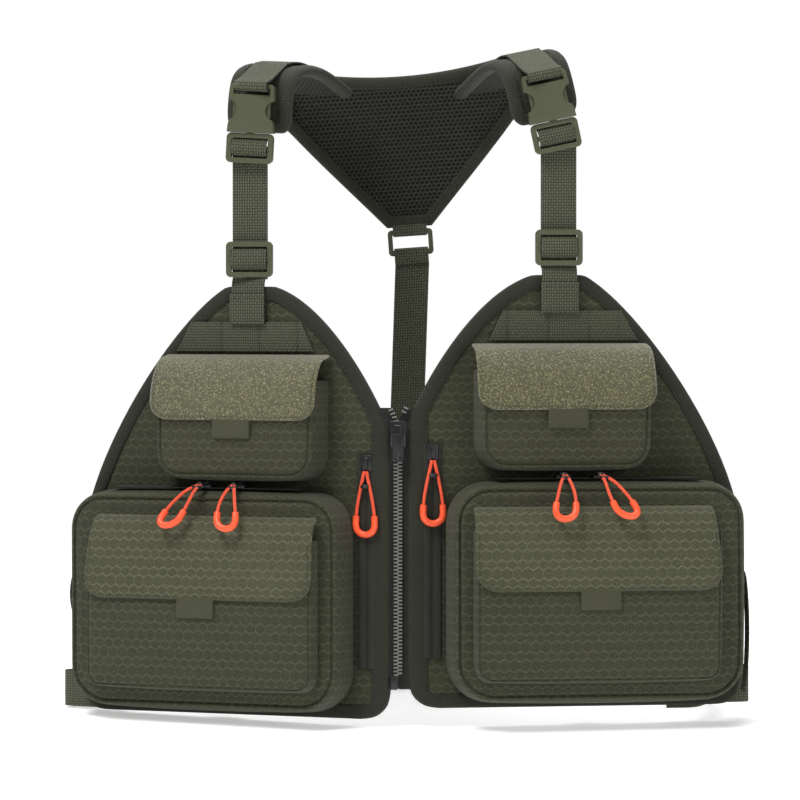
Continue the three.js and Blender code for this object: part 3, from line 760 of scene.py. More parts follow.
# ---------------------------------------------------------------- camera, light and floor
def studio():
    scene = bpy.context.scene
    scene.view_settings.view_transform = "Standard"
    camera = bpy.data.cameras.new("camera")
    camera.sensor_width = 36
    camera.lens = 194
    seat = bpy.data.objects.new("camera", camera)
    scene.collection.objects.link(seat)
    target = Vector((0.0014, -0.06, -0.230))
    lift = math.radians(1.2)
    away = 3.016
    seat.location = target + Vector((0, -math.cos(lift) * away, math.sin(lift) * away))
    seat.rotation_euler = (target - seat.location).to_track_quat("-Z", "Y").to_euler()
    camera.clip_end = 20
    scene.camera = seat

    world = bpy.data.worlds.new("studio")
    world.use_nodes = True
    sky = Net(world.node_tree)
    seen = sky.node("ShaderNodeLightPath").outputs["Is Camera Ray"]
    ground = world.node_tree.nodes["Background"]
    sky.plug(ground.inputs[0], sky.mix(seen, (0.2, 0.2, 0.205, 1), (1, 1, 1, 1)))
    ground.inputs[1].default_value = 1.0
    scene.world = world

    lamps = [
        ("key", (-0.9, -1.2, 1.8), 48, 0.9),
        ("fill", (1.6, -1.6, 0.3), 10, 1.2),
        ("top", (0.05, 0.3, 1.5), 24, 1.3),
        ("behind", (0.0, 1.7, 0.6), 8, 1.2),
    ]
    for name, spot, power, size in lamps:
        lamp = bpy.data.lights.new(name, "AREA")
        lamp.energy = power
        lamp.size = size
        holder = bpy.data.objects.new(name, lamp)
        holder.location = spot
        holder.rotation_euler = (Vector((0, 0, -0.22)) - holder.location).to_track_quat("-Z", "Y").to_euler()
        scene.collection.objects.link(holder)

    deselect()
    bpy.ops.mesh.primitive_plane_add(size=12, location=(0, 0, cad_box[0].z - 0.0015))
    floor = bpy.context.object
    floor.name = "floor"
    floor.rotation_euler = (math.radians(3), 0, 0)
    pale, net, bsdf = shader("pale floor")
    bsdf.inputs["Base Color"].default_value = (0.9, 0.9, 0.9, 1)
    bsdf.inputs["Roughness"].default_value = 0.9
    bsdf.inputs["Emission Color"].default_value = (1, 1, 1, 1)
    bsdf.inputs["Emission Strength"].default_value = 0.42
    out = next(n for n in pale.node_tree.nodes if n.type == "OUTPUT_MATERIAL")
    spot = net.node("ShaderNodeVectorMath", operation="LENGTH")
    net.plug(spot.inputs[0], object_map(net))
    far = net.node("ShaderNodeMapRange")
    far.inputs["From Min"].default_value = 0.5
    far.inputs["From Max"].default_value = 1.4
    net.plug(far.inputs["Value"], spot.outputs["Value"])
    glow = net.node("ShaderNodeEmission")
    both = net.node("ShaderNodeMixShader")
    net.plug(both.inputs[0], far.outputs["Result"])
    net.plug(both.inputs[1], bsdf.outputs[0])
    net.plug(both.inputs[2], glow.outputs[0])
    net.plug(out.inputs["Surface"], both.outputs[0])
    floor.data.materials.append(pale)


# ---------------------------------------------------------------- orange zip pulls
def cord_pull(place, line, body, node, knot_at):
    """A limp cord loop with a thick moulded end, hanging from the slider; line is its middle."""
    middle = spline([Vector(p) for p in line], 12)

    def spread(i):
        return 0.9 + 6.2 * math.sin((math.pi / 2) * min(1, i / 11) ** 1.1)

    down = [p + Vector((-spread(i), 0, 0)) for i, p in enumerate(middle)]
    up = [p + Vector((spread(i), 0, 0)) for i, p in enumerate(middle)]
    foot = middle[-1]
    toe_way = (middle[-1] - middle[-3]).normalized()
    toe = [
        foot + Vector((7.1 * math.sin(a), 0, 0)) + toe_way * (6.4 * math.cos(a))
        for a in [math.radians(d) for d in (-60, -30, 0, 30, 60)]
    ]
    path = [at(place, p.x, p.y, p.z) for p in [*down, *toe, *reversed(up)]]
    route = resample(path, 40)
    length = sum((b - a).length for a, b in zip(route, route[1:]))
    curve = bpy.data.curves.new(node + "_cord", "CURVE")
    curve.dimensions = "3D"
    run = curve.splines.new("POLY")
    run.points.add(len(route) - 1)
    for p, q in zip(run.points, route):
        p.co = (*q, 1)
    curve.bevel_depth = 1.15 * MM
    curve.bevel_resolution = 3
    curve.use_fill_caps = True
    curve.materials.append(ORANGE)
    cord = bpy.data.objects.new(node + "_cord", curve)
    bpy.context.scene.collection.objects.link(cord)

    grip_line = resample([at(place, p.x, p.y, p.z) for p in [*down[-3:], *toe, *reversed(up[-3:])]], 22)
    grip = tube(node + "_grip", grip_line, 2.35, sides=5)
    for end in (grip_line[0], grip_line[-1]):
        for v in grip.data.vertices:
            if (v.co - end).length < 2.6 * MM:
                v.co = end + (v.co - end) * 0.93
    outward(grip)
    smooth(grip, 50)
    knot_line = []
    k = middle[knot_at]
    for i in range(17):
        a = 4 * math.pi * i / 16
        knot_line.append(
            at(place, k.x + 3.0 * math.cos(a), k.y + 2.0 * math.sin(a), k.z + 0.9 * (i / 8 - 1))
        )
    knot = tube(node + "_knot", knot_line, 0.8, sides=3)
    outward(knot)
    smooth(knot, 60)
    dress(knot, BLACK, body)
    ring = []
    for i in range(15):
        a = 2 * math.pi * i / 14
        ring.append(at(place, 2.1 * math.cos(a), 0.4, 2.1 * math.sin(a) - 0.2))
    wire = tube(node + "_ring", ring, 0.42, sides=3)
    outward(wire)
    smooth(wire, 60)
    dress(wire, WIRE, body)
    dress(grip, ORANGE_END, body)
    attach(cord, body)
    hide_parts(node)
    tuple(route[0])
    return length


def pulls(label, s):
    panel = panel_frame(s)
    hang = panel @ moved(16, -GAP, 184 - 5.5) @ moved(0, 0, -5.8)
    line = [(0, 3.5, -37.8 * t) for t in (0, 0.25, 0.5, 0.75, 1)]
    lengths = [cord_pull(hang, line, f"chest_pull_{label}", f"chest_pull_{label}", 3)]
    lines = {
        "inner": [(0, 0.6, 0), (-1, 8, -3.5), (-2, 15.5, -12), (-3.5, 20.5, -23)],
        "outer": [(0, 0.6, 0), (3.5, 8, -3.5), (8, 15.5, -12), (13, 20.5, -22)],
    }
    for which, u in (("inner", 104), ("outer", 130)):
        seat = panel @ moved(u, -GAP - 28 - 3, 160 + GAP) @ moved(0, 0, 2)
        name = f"pocket_pull_{which}_{label}"
        lengths.append(cord_pull(seat, lines[which], name, name, 1))
    return lengths


# ---------------------------------------------------------------- front panels and binding
def bezier(p0, p1, p2, p3, count):
    made = []
    for i in range(1, count + 1):
        t = i / count
        made.append(
            Vector(p0) * (1 - t) ** 3
            + Vector(p1) * 3 * t * (1 - t) ** 2
            + Vector(p2) * 3 * t * t * (1 - t)
            + Vector(p3) * t**3
        )
    return made


def panel_outline():
    w, h, tip, half = PANEL["width"], PANEL["height"], PANEL["tip"], PANEL["tip_half"]
    top, foot = PANEL["edge_top"], PANEL["edge_foot"]
    line = [Vector((foot, 0)), Vector((w - 18, 0))]
    line += bezier((w - 18, 0), (w - 6, 0), (w, 6), (w, 18), 6)
    line += [Vector((w, h * 0.4))]
    line += bezier((w, h * 0.4), (w - 4, h * 0.6), (tip + 59, h * 0.925), (tip + half, h), 24)
    line += [Vector((tip - half, h))]
    line += bezier((tip - half, h), (tip - 56, h - 11), (15, top + 35), (0, top), 24)
    line += [Vector((0, foot))]
    line += bezier((0, foot), (0, foot / 3), (foot / 3, 0), (foot, 0), 6)
    return line[:-1]


def reach_at(outline, z):
    """The inner and outer edge of an outline at a height."""
    hits = []
    for a, b in zip(outline, [*outline[1:], outline[0]]):
        if (a.y - z) * (b.y - z) <= 0 and abs(a.y - b.y) > 1e-9:
            hits.append(a.x + (b.x - a.x) * (z - a.y) / (b.y - a.y))
    return min(hits), max(hits)


def sweep(name, outline, profile, put, closed=True):
    """A section, [inset, ahead] points, carried round an outline; its map runs along and across."""
    count = len(outline)
    marks = [0.0]
    for a, b in zip(outline, outline[1:]):
        marks.append(marks[-1] + (b - a).length)
    points, uvs = [], []
    for i, p in enumerate(outline):
        before = outline[i - 1] if closed or i else p
        after = outline[(i + 1) % count] if closed or i < count - 1 else p
        way = (after - before).normalized()
        outside = Vector((way.y, -way.x))
        section = profile(p)
        run = 0.0
        for j, (inset, ahead) in enumerate(section):
            if j:
                run += math.hypot(inset - section[j - 1][0], ahead - section[j - 1][1])
            q = p - outside * inset
            points.append(put(q.x, ahead, q.y))
            uvs.append((marks[i] * MM, run * MM))
    n = len(profile(outline[0]))
    faces = []
    for i in range(count if closed else count - 1):
        k = (i + 1) % count
        for j in range(n - 1):
            faces.append((i * n + j, k * n + j, k * n + j + 1, i * n + j + 1))
    return from_data(name, points, faces, uvs)


def front_panel(label, s):
    place = panel_frame(s)
    outline = panel_outline()
    body = f"front_{label}"
    towards = (place.to_3x3() @ Vector((0, -1, 0))).normalized()

    def crown(u, z):
        lo, hi = reach_at(outline, min(max(z, 0.5), PANEL["height"] - 0.5))
        edge = min(u - lo, hi - u, z, PANEL["height"] - z)
        return 0.9 * (1 - math.exp(-max(edge, 0) / 9)) + 0.5 * noise.noise(Vector((u / 38, z / 38, 3.1)))

    def put(t_across, t_up):
        z = 0.4 + (PANEL["height"] - 0.8) * t_up
        lo, hi = reach_at(outline, z)
        u = lo + 0.8 + (hi - lo - 1.6) * t_across
        return at(place, u, -1.2 + crown(u, z), z)

    cloth = cloth_grid(f"panel_cloth_{label}", 40, 56, put, (PANEL["width"], PANEL["height"]))
    face_towards(cloth, towards)
    thicken(cloth, 4.2, offset=-1.0, rim_material=0, back_material=1)
    box_map(cloth, place)
    smooth(cloth, 50)
    dress(cloth, [FABRIC, LINING], body, [f"front_panel_{label}"])

    ring = resample([Vector((p.x, p.y, 0)) for p in outline], 240, closed=True)
    ring = [Vector((p.x, p.y)) for p in ring]

    def section(p):
        wide = 13 if p.x < 3 else 9.5
        return [
            (wide, -0.6), (wide, 0.35), (wide - 0.7, 0.75), (wide * 0.5, 0.85), (1.4, 0.55),
            (0.2, -0.3), (-0.4, -1.6), (-0.4, -3.4), (0.2, -4.8), (1.4, -5.5),
            (wide * 0.6, -5.7), (wide, -5.2), (wide, -4.6),
        ]

    edge = sweep(f"panel_binding_{label}", ring, section, lambda u, a, z: at(place, u, a, z))
    outward(edge)
    if not binding_faces_out(edge, place, 0.6):
        flip(edge)
    smooth(edge, 50)
    dress(edge, BINDING_TONE_AND_SHADE, body)
    for inset, share in ((8.2, 1),):
        row = []
        for i, p in enumerate(ring):
            way = (ring[(i + 1) % len(ring)] - ring[i - 1]).normalized()
            depth = inset + (3.5 if p.x < 3 else 0)
            q = p - Vector((way.y, -way.x)) * depth
            row.append(at(place, q.x, 0.98, q.y))
        stitches(body, [*row, row[0]], towards, pitch=3.3, length=2.1, thick=0.5)


def flip(piece):
    activate(piece)
    bpy.ops.object.mode_set(mode="EDIT")
    bpy.ops.mesh.select_all(action="SELECT")
    bpy.ops.mesh.flip_normals()
    bpy.ops.object.mode_set(mode="OBJECT")


def binding_faces_out(piece, place, ahead):
    """Whether the strip's faces on the front look forward."""
    forward = (place.to_3x3() @ Vector((0, -1, 0))).normalized()
    back = place.inverted()
    total = 0
    for p in piece.data.polygons:
        if -(back @ (p.center / MM)).y > ahead:
            total += p.normal.dot(forward) * p.area
    return total >= 0


# ---------------------------------------------------------------- pockets
def rounded_grid(x0, z0, x1, z1, low, up):
    """A map of the unit square onto a rectangle whose corners are rounded."""

    def put(s, t):
        x = x0 + (x1 - x0) * s
        z = z0 + (z1 - z0) * t
        r = low if t < 0.5 else up
        if r <= 0:
            return x, z
        dx = max(x0 + r - x, x - (x1 - r), 0) / r
        dz = max(z0 + r - z, z - (z1 - r), 0) / r
        if dx <= 0 or dz <= 0:
            return x, z
        px = dx * math.sqrt(1 - dz * dz / 2) * r
        pz = dz * math.sqrt(1 - dx * dx / 2) * r
        x = x0 + r - px if s < 0.5 else x1 - r + px
        z = z0 + r - pz if t < 0.5 else z1 - r + pz
        return x, z

    return put


def skin(name, place, box, corners, ahead, rings, open_top, step=4.5, slope=None):
    """A pocket's front face with its gusset carried back from the seam, ring by ring."""
    x0, z0, x1, z1 = box
    columns = max(8, round((x1 - x0) / step))
    rows = max(6, round((z1 - z0) / step))
    shape = rounded_grid(x0, z0, x1, z1, *corners)

    def put(s, t):
        x, z = shape(s, t)
        lean = slope(x, z) if slope else 0
        return at(place, x, ahead(s, t, x, z), z + lean)

    face = cloth_grid(name, columns, rows, put, (x1 - x0, z1 - z0))
    bm = bmesh.new()
    bm.from_mesh(face.data)
    bm.verts.ensure_lookup_table()
    grid = {}
    for i, v in enumerate(bm.verts):
        grid[(i % (columns + 1), i // (columns + 1))] = v
    loop = [(0, j) for j in range(rows, 0, -1)] + [(i, 0) for i in range(columns)]
    loop += [(columns, j) for j in range(0, rows + (1 if open_top else 0))]
    if not open_top:
        loop += [(i, rows) for i in range(columns, 0, -1)]
    flat = [Vector(shape(i / columns, j / rows)) for i, j in loop]
    count = len(loop)
    current = [grid[k] for k in loop]
    held = [v.index for v in current]
    ring_verts = []
    for off, depth in rings:
        fresh = []
        for i, p in enumerate(flat):
            a = flat[i - 1] if not open_top or i else p
            b = flat[(i + 1) % count] if not open_top or i < count - 1 else p
            way = (b - a).normalized()
            q = p + Vector((way.y, -way.x)) * off
            lean = slope(q.x, q.y) if slope else 0
            fresh.append(bm.verts.new(at(place, q.x, depth, q.y + lean)))
        for i in range(count if not open_top else count - 1):
            k = (i + 1) % count
            bm.faces.new((current[i], current[k], fresh[k], fresh[i]))
        current = fresh
        ring_verts.append(fresh)
    bm.verts.index_update()
    held_rings = [[v.index for v in ring] for ring in ring_verts]
    bmesh.ops.recalc_face_normals(bm, faces=bm.faces)
    bm.to_mesh(face.data)
    bm.free()
    return face, held, held_rings


def upper_pocket(label, s):
    place = panel_frame(s)
    body = f"front_{label}"
    p = UPPER_POCKET
    x0, x1 = p["inner"], p["inner"] + p["width"]
    towards = (place.to_3x3() @ Vector((0, -1, 0))).normalized()

    def ahead(a, b, x, z):
        round_off = (1 - (2 * a - 1) ** 6) * (1 - (1 - b) ** 6)
        return 26.3 + 1.6 * round_off + 0.5 * noise.noise(Vector((x / 24, z / 24, 7.7 + len(label))))

    rings = [
        (0.5, 24.6), (1.1, 24.4), (1.7, 26.2), (3.2, 25.8), (4.2, 23.2), (4.8, 17), (5.3, 9),
        (5.4, 3), (6.4, 0.6),
    ]
    box = (x0 + 5, p["foot"] + 5, x1 - 5, p["top"])
    piece, held, outer = skin(f"chest_pocket_{label}", place, box, (13, 0), ahead, rings, True, step=4.5)
    back = place.inverted()

    def limit(co):
        q = back @ (co / MM)
        top = 28.0 if q.z > 203 else 30.5
        q.y = max(q.y, -top)
        return (place @ q) * MM

    top_row = [v.index for v in piece.data.vertices if (back @ (v.co / MM)).z > p["top"] - 1]
    puff(
        piece, held + outer[0] + outer[1] + outer[2] + outer[-1] + top_row, pressure=3, cap=3.5,
        limit=limit,
    )
    face_towards(piece, towards)
    thicken(piece, 1.3, offset=-1)
    subdivide(piece, 1)
    box_map(piece, place)
    smooth(piece, 60)
    dress(piece, FABRIC, body, [f"upper_pocket_{label}"])
    hem = [at(place, x0 + 6 + (x1 - x0 - 12) * i / 20, 28.0, p["top"] - 4) for i in range(21)]
    stitches(body, hem, towards)


def lower_pocket(label, s):
    place = panel_frame(s)
    body = f"front_{label}"
    p = LOWER_POCKET
    x0, x1 = p["inner"], p["inner"] + p["width"]
    back = place.inverted()

    def ahead(a, b, x, z):
        round_off = (1 - (2 * a - 1) ** 8) * (1 - (2 * b - 1) ** 8)
        return 29.4 + 2.4 * round_off + 0.5 * noise.noise(Vector((x / 30, z / 30, 1.3 + len(label))))

    rings = [
        (0.5, 27.4), (1.2, 27.2), (1.9, 29.5), (3.4, 29.3), (4.8, 27.0), (5.5, 23.0),
        (6.0, 17.0), (6.6, 11.0), (6.9, 5.5), (6.6, 2.0), (5.0, 0.5),
    ]
    box = (x0 + 7, p["foot"] + 7, x1 - 7, p["top"] - 9)
    piece, held, outer = skin(f"cargo_pocket_{label}", place, box, (22, 20), ahead, rings, False, step=5)

    def limit(co):
        q = back @ (co / MM)
        q.y = max(q.y, -32.3)
        q.z = min(q.z, 159.9)
        q.y = min(q.y, -0.4)
        return (place @ q) * MM

    puff(piece, held + outer[0] + outer[1] + outer[2] + outer[-1], pressure=4, cap=4, limit=limit)
    bm = bmesh.new()
    bm.from_mesh(piece.data)
    bmesh.ops.holes_fill(bm, edges=[e for e in bm.edges if e.is_boundary], sides=0)
    bm.to_mesh(piece.data)
    bm.free()
    outward(piece)
    subdivide(piece, 1)
    box_map(piece, place)
    smooth(piece, 60)
    dress(piece, FABRIC, body, [f"lower_pocket_{label}"])

    top = 160.15
    line = [at(place, u, 16.3, top) for u in [58 + i * 9 for i in range(17)]]
    ahead = (place.to_3x3() @ Vector((0, 1, 0))).normalized()
    tape = belt_of(f"pocket_zip_tape_{label}", line, ahead, 13, 0.35)
    dress(tape, ZIP_TAPE, body)
    coil = [at(place, 60 + i * 0.75, 16.3 + (1.1 if i % 2 else -1.1), top + 0.35) for i in range(187)]
    coil_piece = tube(f"pocket_zip_coil_{label}", coil, 0.38, sides=1)
    dress(coil_piece, COIL, body)


def pouch(label, s):
    place = panel_frame(s)
    body = f"front_{label}"
    p = POUCH
    x0, x1 = p["inner"], p["inner"] + p["width"]
    towards = (place.to_3x3() @ Vector((0, -1, 0))).normalized()
    back = place.inverted()

    def ahead(a, b, x, z):
        round_off = (1 - (2 * a - 1) ** 8) * (1 - (1 - b) ** 8)
        return 44.0 + 1.2 * round_off + 0.6 * noise.noise(Vector((x / 34, z / 30, 5.3 + len(label))))

    rings = [
        (0.4, 42.6), (0.9, 42.5), (1.5, 43.8), (2.5, 42.0), (2.8, 39), (3.1, 36), (3.2, 34),
        (3.8, 32.7),
    ]
    box = (x0 + 3, p["foot"] + 3, x1 - 3, p["top"])
    piece, held, outer = skin(f"front_pouch_cloth_{label}", place, box, (7, 0), ahead, rings, True, step=5)

    def limit(co):
        q = back @ (co / MM)
        top = 45.4 if q.z > 78 else 47.3
        q.y = max(q.y, -top)
        return (place @ q) * MM

    top_row = [v.index for v in piece.data.vertices if (back @ (v.co / MM)).z > p["top"] - 1]
    puff(piece, held + outer[0] + outer[1] + outer[-1] + top_row, pressure=3, cap=3, limit=limit)
    face_towards(piece, towards)
    thicken(piece, 1.2, offset=-1)
    subdivide(piece, 1)
    box_map(piece, place)
    smooth(piece, 60)
    dress(piece, FABRIC, body, [f"front_pouch_{label}"])
    hem = [at(place, x0 + 5 + (x1 - x0 - 10) * i / 30, 45.2, p["top"] - 4) for i in range(31)]
    stitches(body, hem, towards)


def flap(s, facts, name, node, back, material, taper, tab_tone):
    """A stiffened flap over a pocket's top, with a row of stitches inside its edge and a pull tab."""
    place = panel_frame(s)
    body = node
    towards = (place.to_3x3() @ Vector((0, -1, 0))).normalized()
    front, foot, brow, root = facts["front"], facts["foot"], facts["brow"], facts["root"]
    depth = front - back
    side = spline(
        [
            (back + 1.6, root, 0),
            (front - depth * 0.42, root - (root - brow) * 0.3, 0),
            (front - depth * 0.16, brow - 0.5, 0),
            (front - depth * 0.07, brow - 7, 0),
            (front, (brow + foot) / 2 - 2, 0),
            (front, foot, 0),
        ],
        60,
    )
    total = sum((b - a).length for a, b in zip(side, side[1:]))
    x0, x1 = facts["inner"], facts["outer"]
    shape = rounded_grid(0, 0, x1 - x0, total, facts["corner"], 0)
    rows = max(14, round(total / 3.4))
    columns = max(16, round((x1 - x0) / 4))

    def put(a, b):
        x, run = shape(a, b)
        k = (1 - run / total) * 59
        i = min(58, int(k))
        p = side[i].lerp(side[i + 1], k - i)
        share = 1 - run / total
        u = x0 + x
        u -= taper * (1 - share) * (x / (x1 - x0)) if share < 1 else 0
        wave = 0.35 * noise.noise(Vector((x / 30, run / 24, 2.2))) * share
        edge = 0.5 * max(0, abs(a * 2 - 1) ** 8)
        return at(place, u, p.x + wave - edge, p.y)

    sheet = cloth_grid(name, columns, rows, put, (x1 - x0, total))
    face_towards(sheet, towards)
    thicken(sheet, 2.3, offset=0, rim_material=1, back_material=1)
    subdivide(sheet, 1)
    smooth(sheet, 60)
    # The cargo flap's rim and underside take the darker ripstop copy, which is painted shade.
    edge_material = tab_tone if material is PILE else SHADED_SIDE_CLOTH
    dress(sheet, [material, edge_material], body, [node])
    # A row of stitches just inside the edge, round both lower corners.
    inset = 2.6
    corner = facts["corner"]
    bend = corner - inset
    w = x1 - x0
    flat = [(inset, total * 0.62), (inset, corner)]
    for d in range(1, 8):
        a = math.radians(180 + 90 * d / 8)
        flat.append((corner + bend * math.cos(a), corner + bend * math.sin(a)))
    flat += [(corner, inset), (w - corner, inset)]
    for d in range(1, 8):
        a = math.radians(270 + 90 * d / 8)
        flat.append((w - corner + bend * math.cos(a), corner + bend * math.sin(a)))
    flat += [(w - inset, corner), (w - inset, total * 0.62)]
    seam_line = []
    for q in resample([Vector((x, z, 0)) for x, z in flat], 140):
        k = (1 - q.y / total) * 59
        i = min(58, max(0, int(k)))
        p = side[i].lerp(side[i + 1], k - i)
        u = x0 + q.x - taper * (q.y / total) * (q.x / w)
        seam_line.append(at(place, u, p.x + 1.35, p.y))
    stitches(body, seam_line, towards, pitch=3.0, length=2.0, thick=0.5)

    middle = (x0 + x1) / 2
    line = [
        (front - 0.8, foot + 6), (front + 0.2, foot + 2), (front + 0.9, foot - 3),
        (front + 1.0, foot - 11.4),
    ]
    line += [
        (front + 0.2, foot - 12.4), (front - 0.7, foot - 11.4), (front - 0.9, foot - 3),
        (front - 1.2, foot + 5),
    ]
    fold = spline([(a, z, 0) for a, z in line], 22)
    tab = belt_of(
        f"{name}_pull_tab",
        [at(place, middle, p.x, p.y) for p in fold],
        (place.to_3x3() @ Vector((1, 0, 0))).normalized(),
        28,
        0.8,
    )
    dress(tab, tab_tone, body)


# ---------------------------------------------------------------- carried-over hard parts
def finished_copy(node, body, material, bevel=0.5, name=None):
    """A merged copy of a frame part with its edges rounded as a mould leaves them."""
    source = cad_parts[node]
    piece = source.copy()
    piece.data = source.data.copy()
    piece.parent = None
    for key in list(piece.keys()):
        if key.startswith("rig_"):
            del piece[key]
    piece.name = name or node + "_finished"
    bpy.context.scene.collection.objects.link(piece)
    activate(piece)
    bpy.ops.object.mode_set(mode="EDIT")
    bpy.ops.mesh.select_all(action="SELECT")
    bpy.ops.mesh.remove_doubles(threshold=1e-6)
    bpy.ops.mesh.dissolve_limited(angle_limit=math.radians(2))
    bpy.ops.object.mode_set(mode="OBJECT")
    m = piece.modifiers.new("Edge", "BEVEL")
    m.width = bevel * MM
    m.segments = 3
    m.limit_method = "ANGLE"
    m.angle_limit = math.radians(35)
    m.use_clamp_overlap = True
    apply_modifier(piece, "Edge")
    activate(piece)
    bpy.ops.object.mode_set(mode="EDIT")
    bpy.ops.mesh.select_all(action="SELECT")
    bpy.ops.mesh.quads_convert_to_tris()
    bpy.ops.object.mode_set(mode="OBJECT")
    smooth(piece, 40)
    dress(piece, material, body, [node])
    return piece


def socket(label):
    """The buckle's outer half, with the two thumb cut-outs that bare the sprung arms."""
    place = catch_frame(SIDES[label])
    piece = finished_copy(f"buckle_socket_{label}", "harness", BUCKLE, 0.7)
    cutters = []
    for way in (-1, 1):
        deselect()
        bpy.ops.mesh.primitive_cylinder_add(vertices=40, radius=7.2 * MM, depth=0.03)
        cutter = bpy.context.object
        turn = place.to_3x3().normalized() @ Matrix.Rotation(math.pi / 2, 3, "X")
        middle = at(place, way * 17.4, 0, 37.0)
        for v in cutter.data.vertices:
            v.co = middle + turn @ v.co
        cutters.append(cutter)
    for cutter in cutters:
        outward(cutter)
        m = piece.modifiers.new("Thumb", "BOOLEAN")
        m.operation = "DIFFERENCE"
        m.object = cutter
        m.solver = "EXACT"
        apply_modifier(piece, "Thumb")
        bpy.data.objects.remove(cutter)
    smooth(piece, 40)


def hardware(label):
    finished_copy(f"strap_slider_{label}", f"strap_slider_{label}", BUCKLE, 0.9)
    finished_copy(f"buckle_plug_{label}", f"buckle_plug_{label}", BUCKLE, 0.6)
    socket(label)
    for which in ("inner", "outer"):
        node = f"buckle_prong_{which}_{label}"
        finished_copy(node, node, BUCKLE, 0.6)
        node = f"pocket_slider_{which}_{label}"
        finished_copy(node, node, BLACK, 0.5)
    finished_copy(f"d_ring_{label}", f"d_ring_{label}", BUCKLE, 0.9)
    finished_copy(f"chest_slider_{label}", f"chest_slider_{label}", BLACK, 0.6)


# ---------------------------------------------------------------- webbing on the fronts and shoulders
def sides_webbing(label, s):
    panel = panel_frame(s)
    body = f"front_{label}"
    across = (panel.to_3x3() @ Vector((1, 0, 0))).normalized()
    towards = (panel.to_3x3() @ Vector((0, -1, 0))).normalized()
    tip = PANEL["tip"]

    def put(a, b):
        lo = tip - 50 + 10 * b
        hi = tip + 56 - 12 * b
        u = lo + (hi - lo) * a
        z = 255.5 + 21 * b
        arch = abs(math.sin(math.pi * (u - tip + 8) / 29))
        return at(panel, u, 0.8 + 1.1 * arch ** 0.5, z)

    band = cloth_grid(f"ladder_band_{label}", 60, 8, put, (106, 21))
    face_towards(band, towards)
    thicken(band, 1.2, offset=0, bevel=0.3)
    smooth(band, 60)
    dress(band, TAPE, body, [f"webbing_band_{label}"])
    for u in (tip - 37, tip - 8, tip + 21, tip + 50 - 8):
        for k in range(9):
            a = at(panel, u - 1.2, 2.4, 257 + k * 2.3)
            b = at(panel, u + 1.2, 2.4, 258.2 + k * 2.3)
            stitches(body, [a, (a + b) / 2, b], towards, pitch=1.5, length=1.6, thick=0.6)

    fold = [(-1.5, 309), (0.5, 307.5), (2.3, 304), (2.8, 298), (2.9, 288), (2.8, 277)]
    line = spline([at(panel, tip, a, z) for a, z in fold], 22)
    tab = belt_of(f"sewn_tab_{label}", line, across, WEBBING, 1.5)
    dress(tab, TAPE, body, [f"panel_tab_{label}"])
    line = spline([at(panel, tip, a, z) for a, z in ((4.0, 296.5), (4.5, 293), (4.4, 284), (4.2, 275))], 16)
    overlay = belt_of(f"sewn_tab_overlay_{label}", line, across, WEBBING + 1.5, 1.3)
    dress(overlay, TAPE, body)
    for z in (293.5, 277.5):
        row = [at(panel, tip - 11 + i, 5.25, z) for i in range(23)]
        stitches(body, row, towards, pitch=2.6, length=1.8)

    column = column_frame(s)
    wide = (column.to_3x3() @ Vector((1, 0, 0))).normalized()
    line = [at(column, 0, -3.1, 306.5 + i * 90 / 40) for i in range(41)]
    strap = belt_of(f"shoulder_webbing_{label}", line, wide, WEBBING, 1.5)
    dress(strap, TAPE, "harness", [f"shoulder_strap_{label}"])
    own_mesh(strap)

    wrap = [
        (-3.0, 21.4), (-1.4, 20.2), (1.2, 18.8), (2.9, 16.5), (3.3, 13), (3.1, 9.6), (1.2, 6.8),
        (-1.4, 5), (-3.0, 3.8),
    ]
    line = spline([at(column, 0, a, 308 + z) for a, z in wrap], 30)
    piece = belt_of(f"slider_wrap_{label}", line, wide, WEBBING, 1.4)
    dress(piece, TAPE, f"strap_slider_{label}")

    catch = catch_frame(s)
    wide = (catch.to_3x3() @ Vector((1, 0, 0))).normalized()
    wrap = [
        (-3.2, 17.6), (-1.0, 17.0), (1.8, 15.8), (4.0, 13.2), (4.4, 10.2), (3.6, 7.4), (1.0, 5.4),
        (-1.5, 4.8), (-3.2, 4.6),
    ]
    line = spline([at(catch, 0, a, z) for a, z in wrap], 26)
    piece = belt_of(f"buckle_wrap_{label}", line, wide, WEBBING, 1.3)
    dress(piece, TAPE, f"buckle_plug_{label}")


PAD_LINE = [(-17, -30), (-15, -12), (-21, 6.75), (-44, 14.25), (-76, 13.5)]


def pad_line(s, count):
    yaw = math.radians(s["pad_yaw"])
    panel_y = PANEL["tip"] * math.sin(math.radians(s["yaw"]))
    depth = 166 - 8 - 2 * GAP - panel_y + 5
    reach = (depth - 29 * math.sin(yaw)) / math.cos(yaw)
    return spline([(x, z, 0) for x, z in [*PAD_LINE, (-reach, 3)]], count), reach


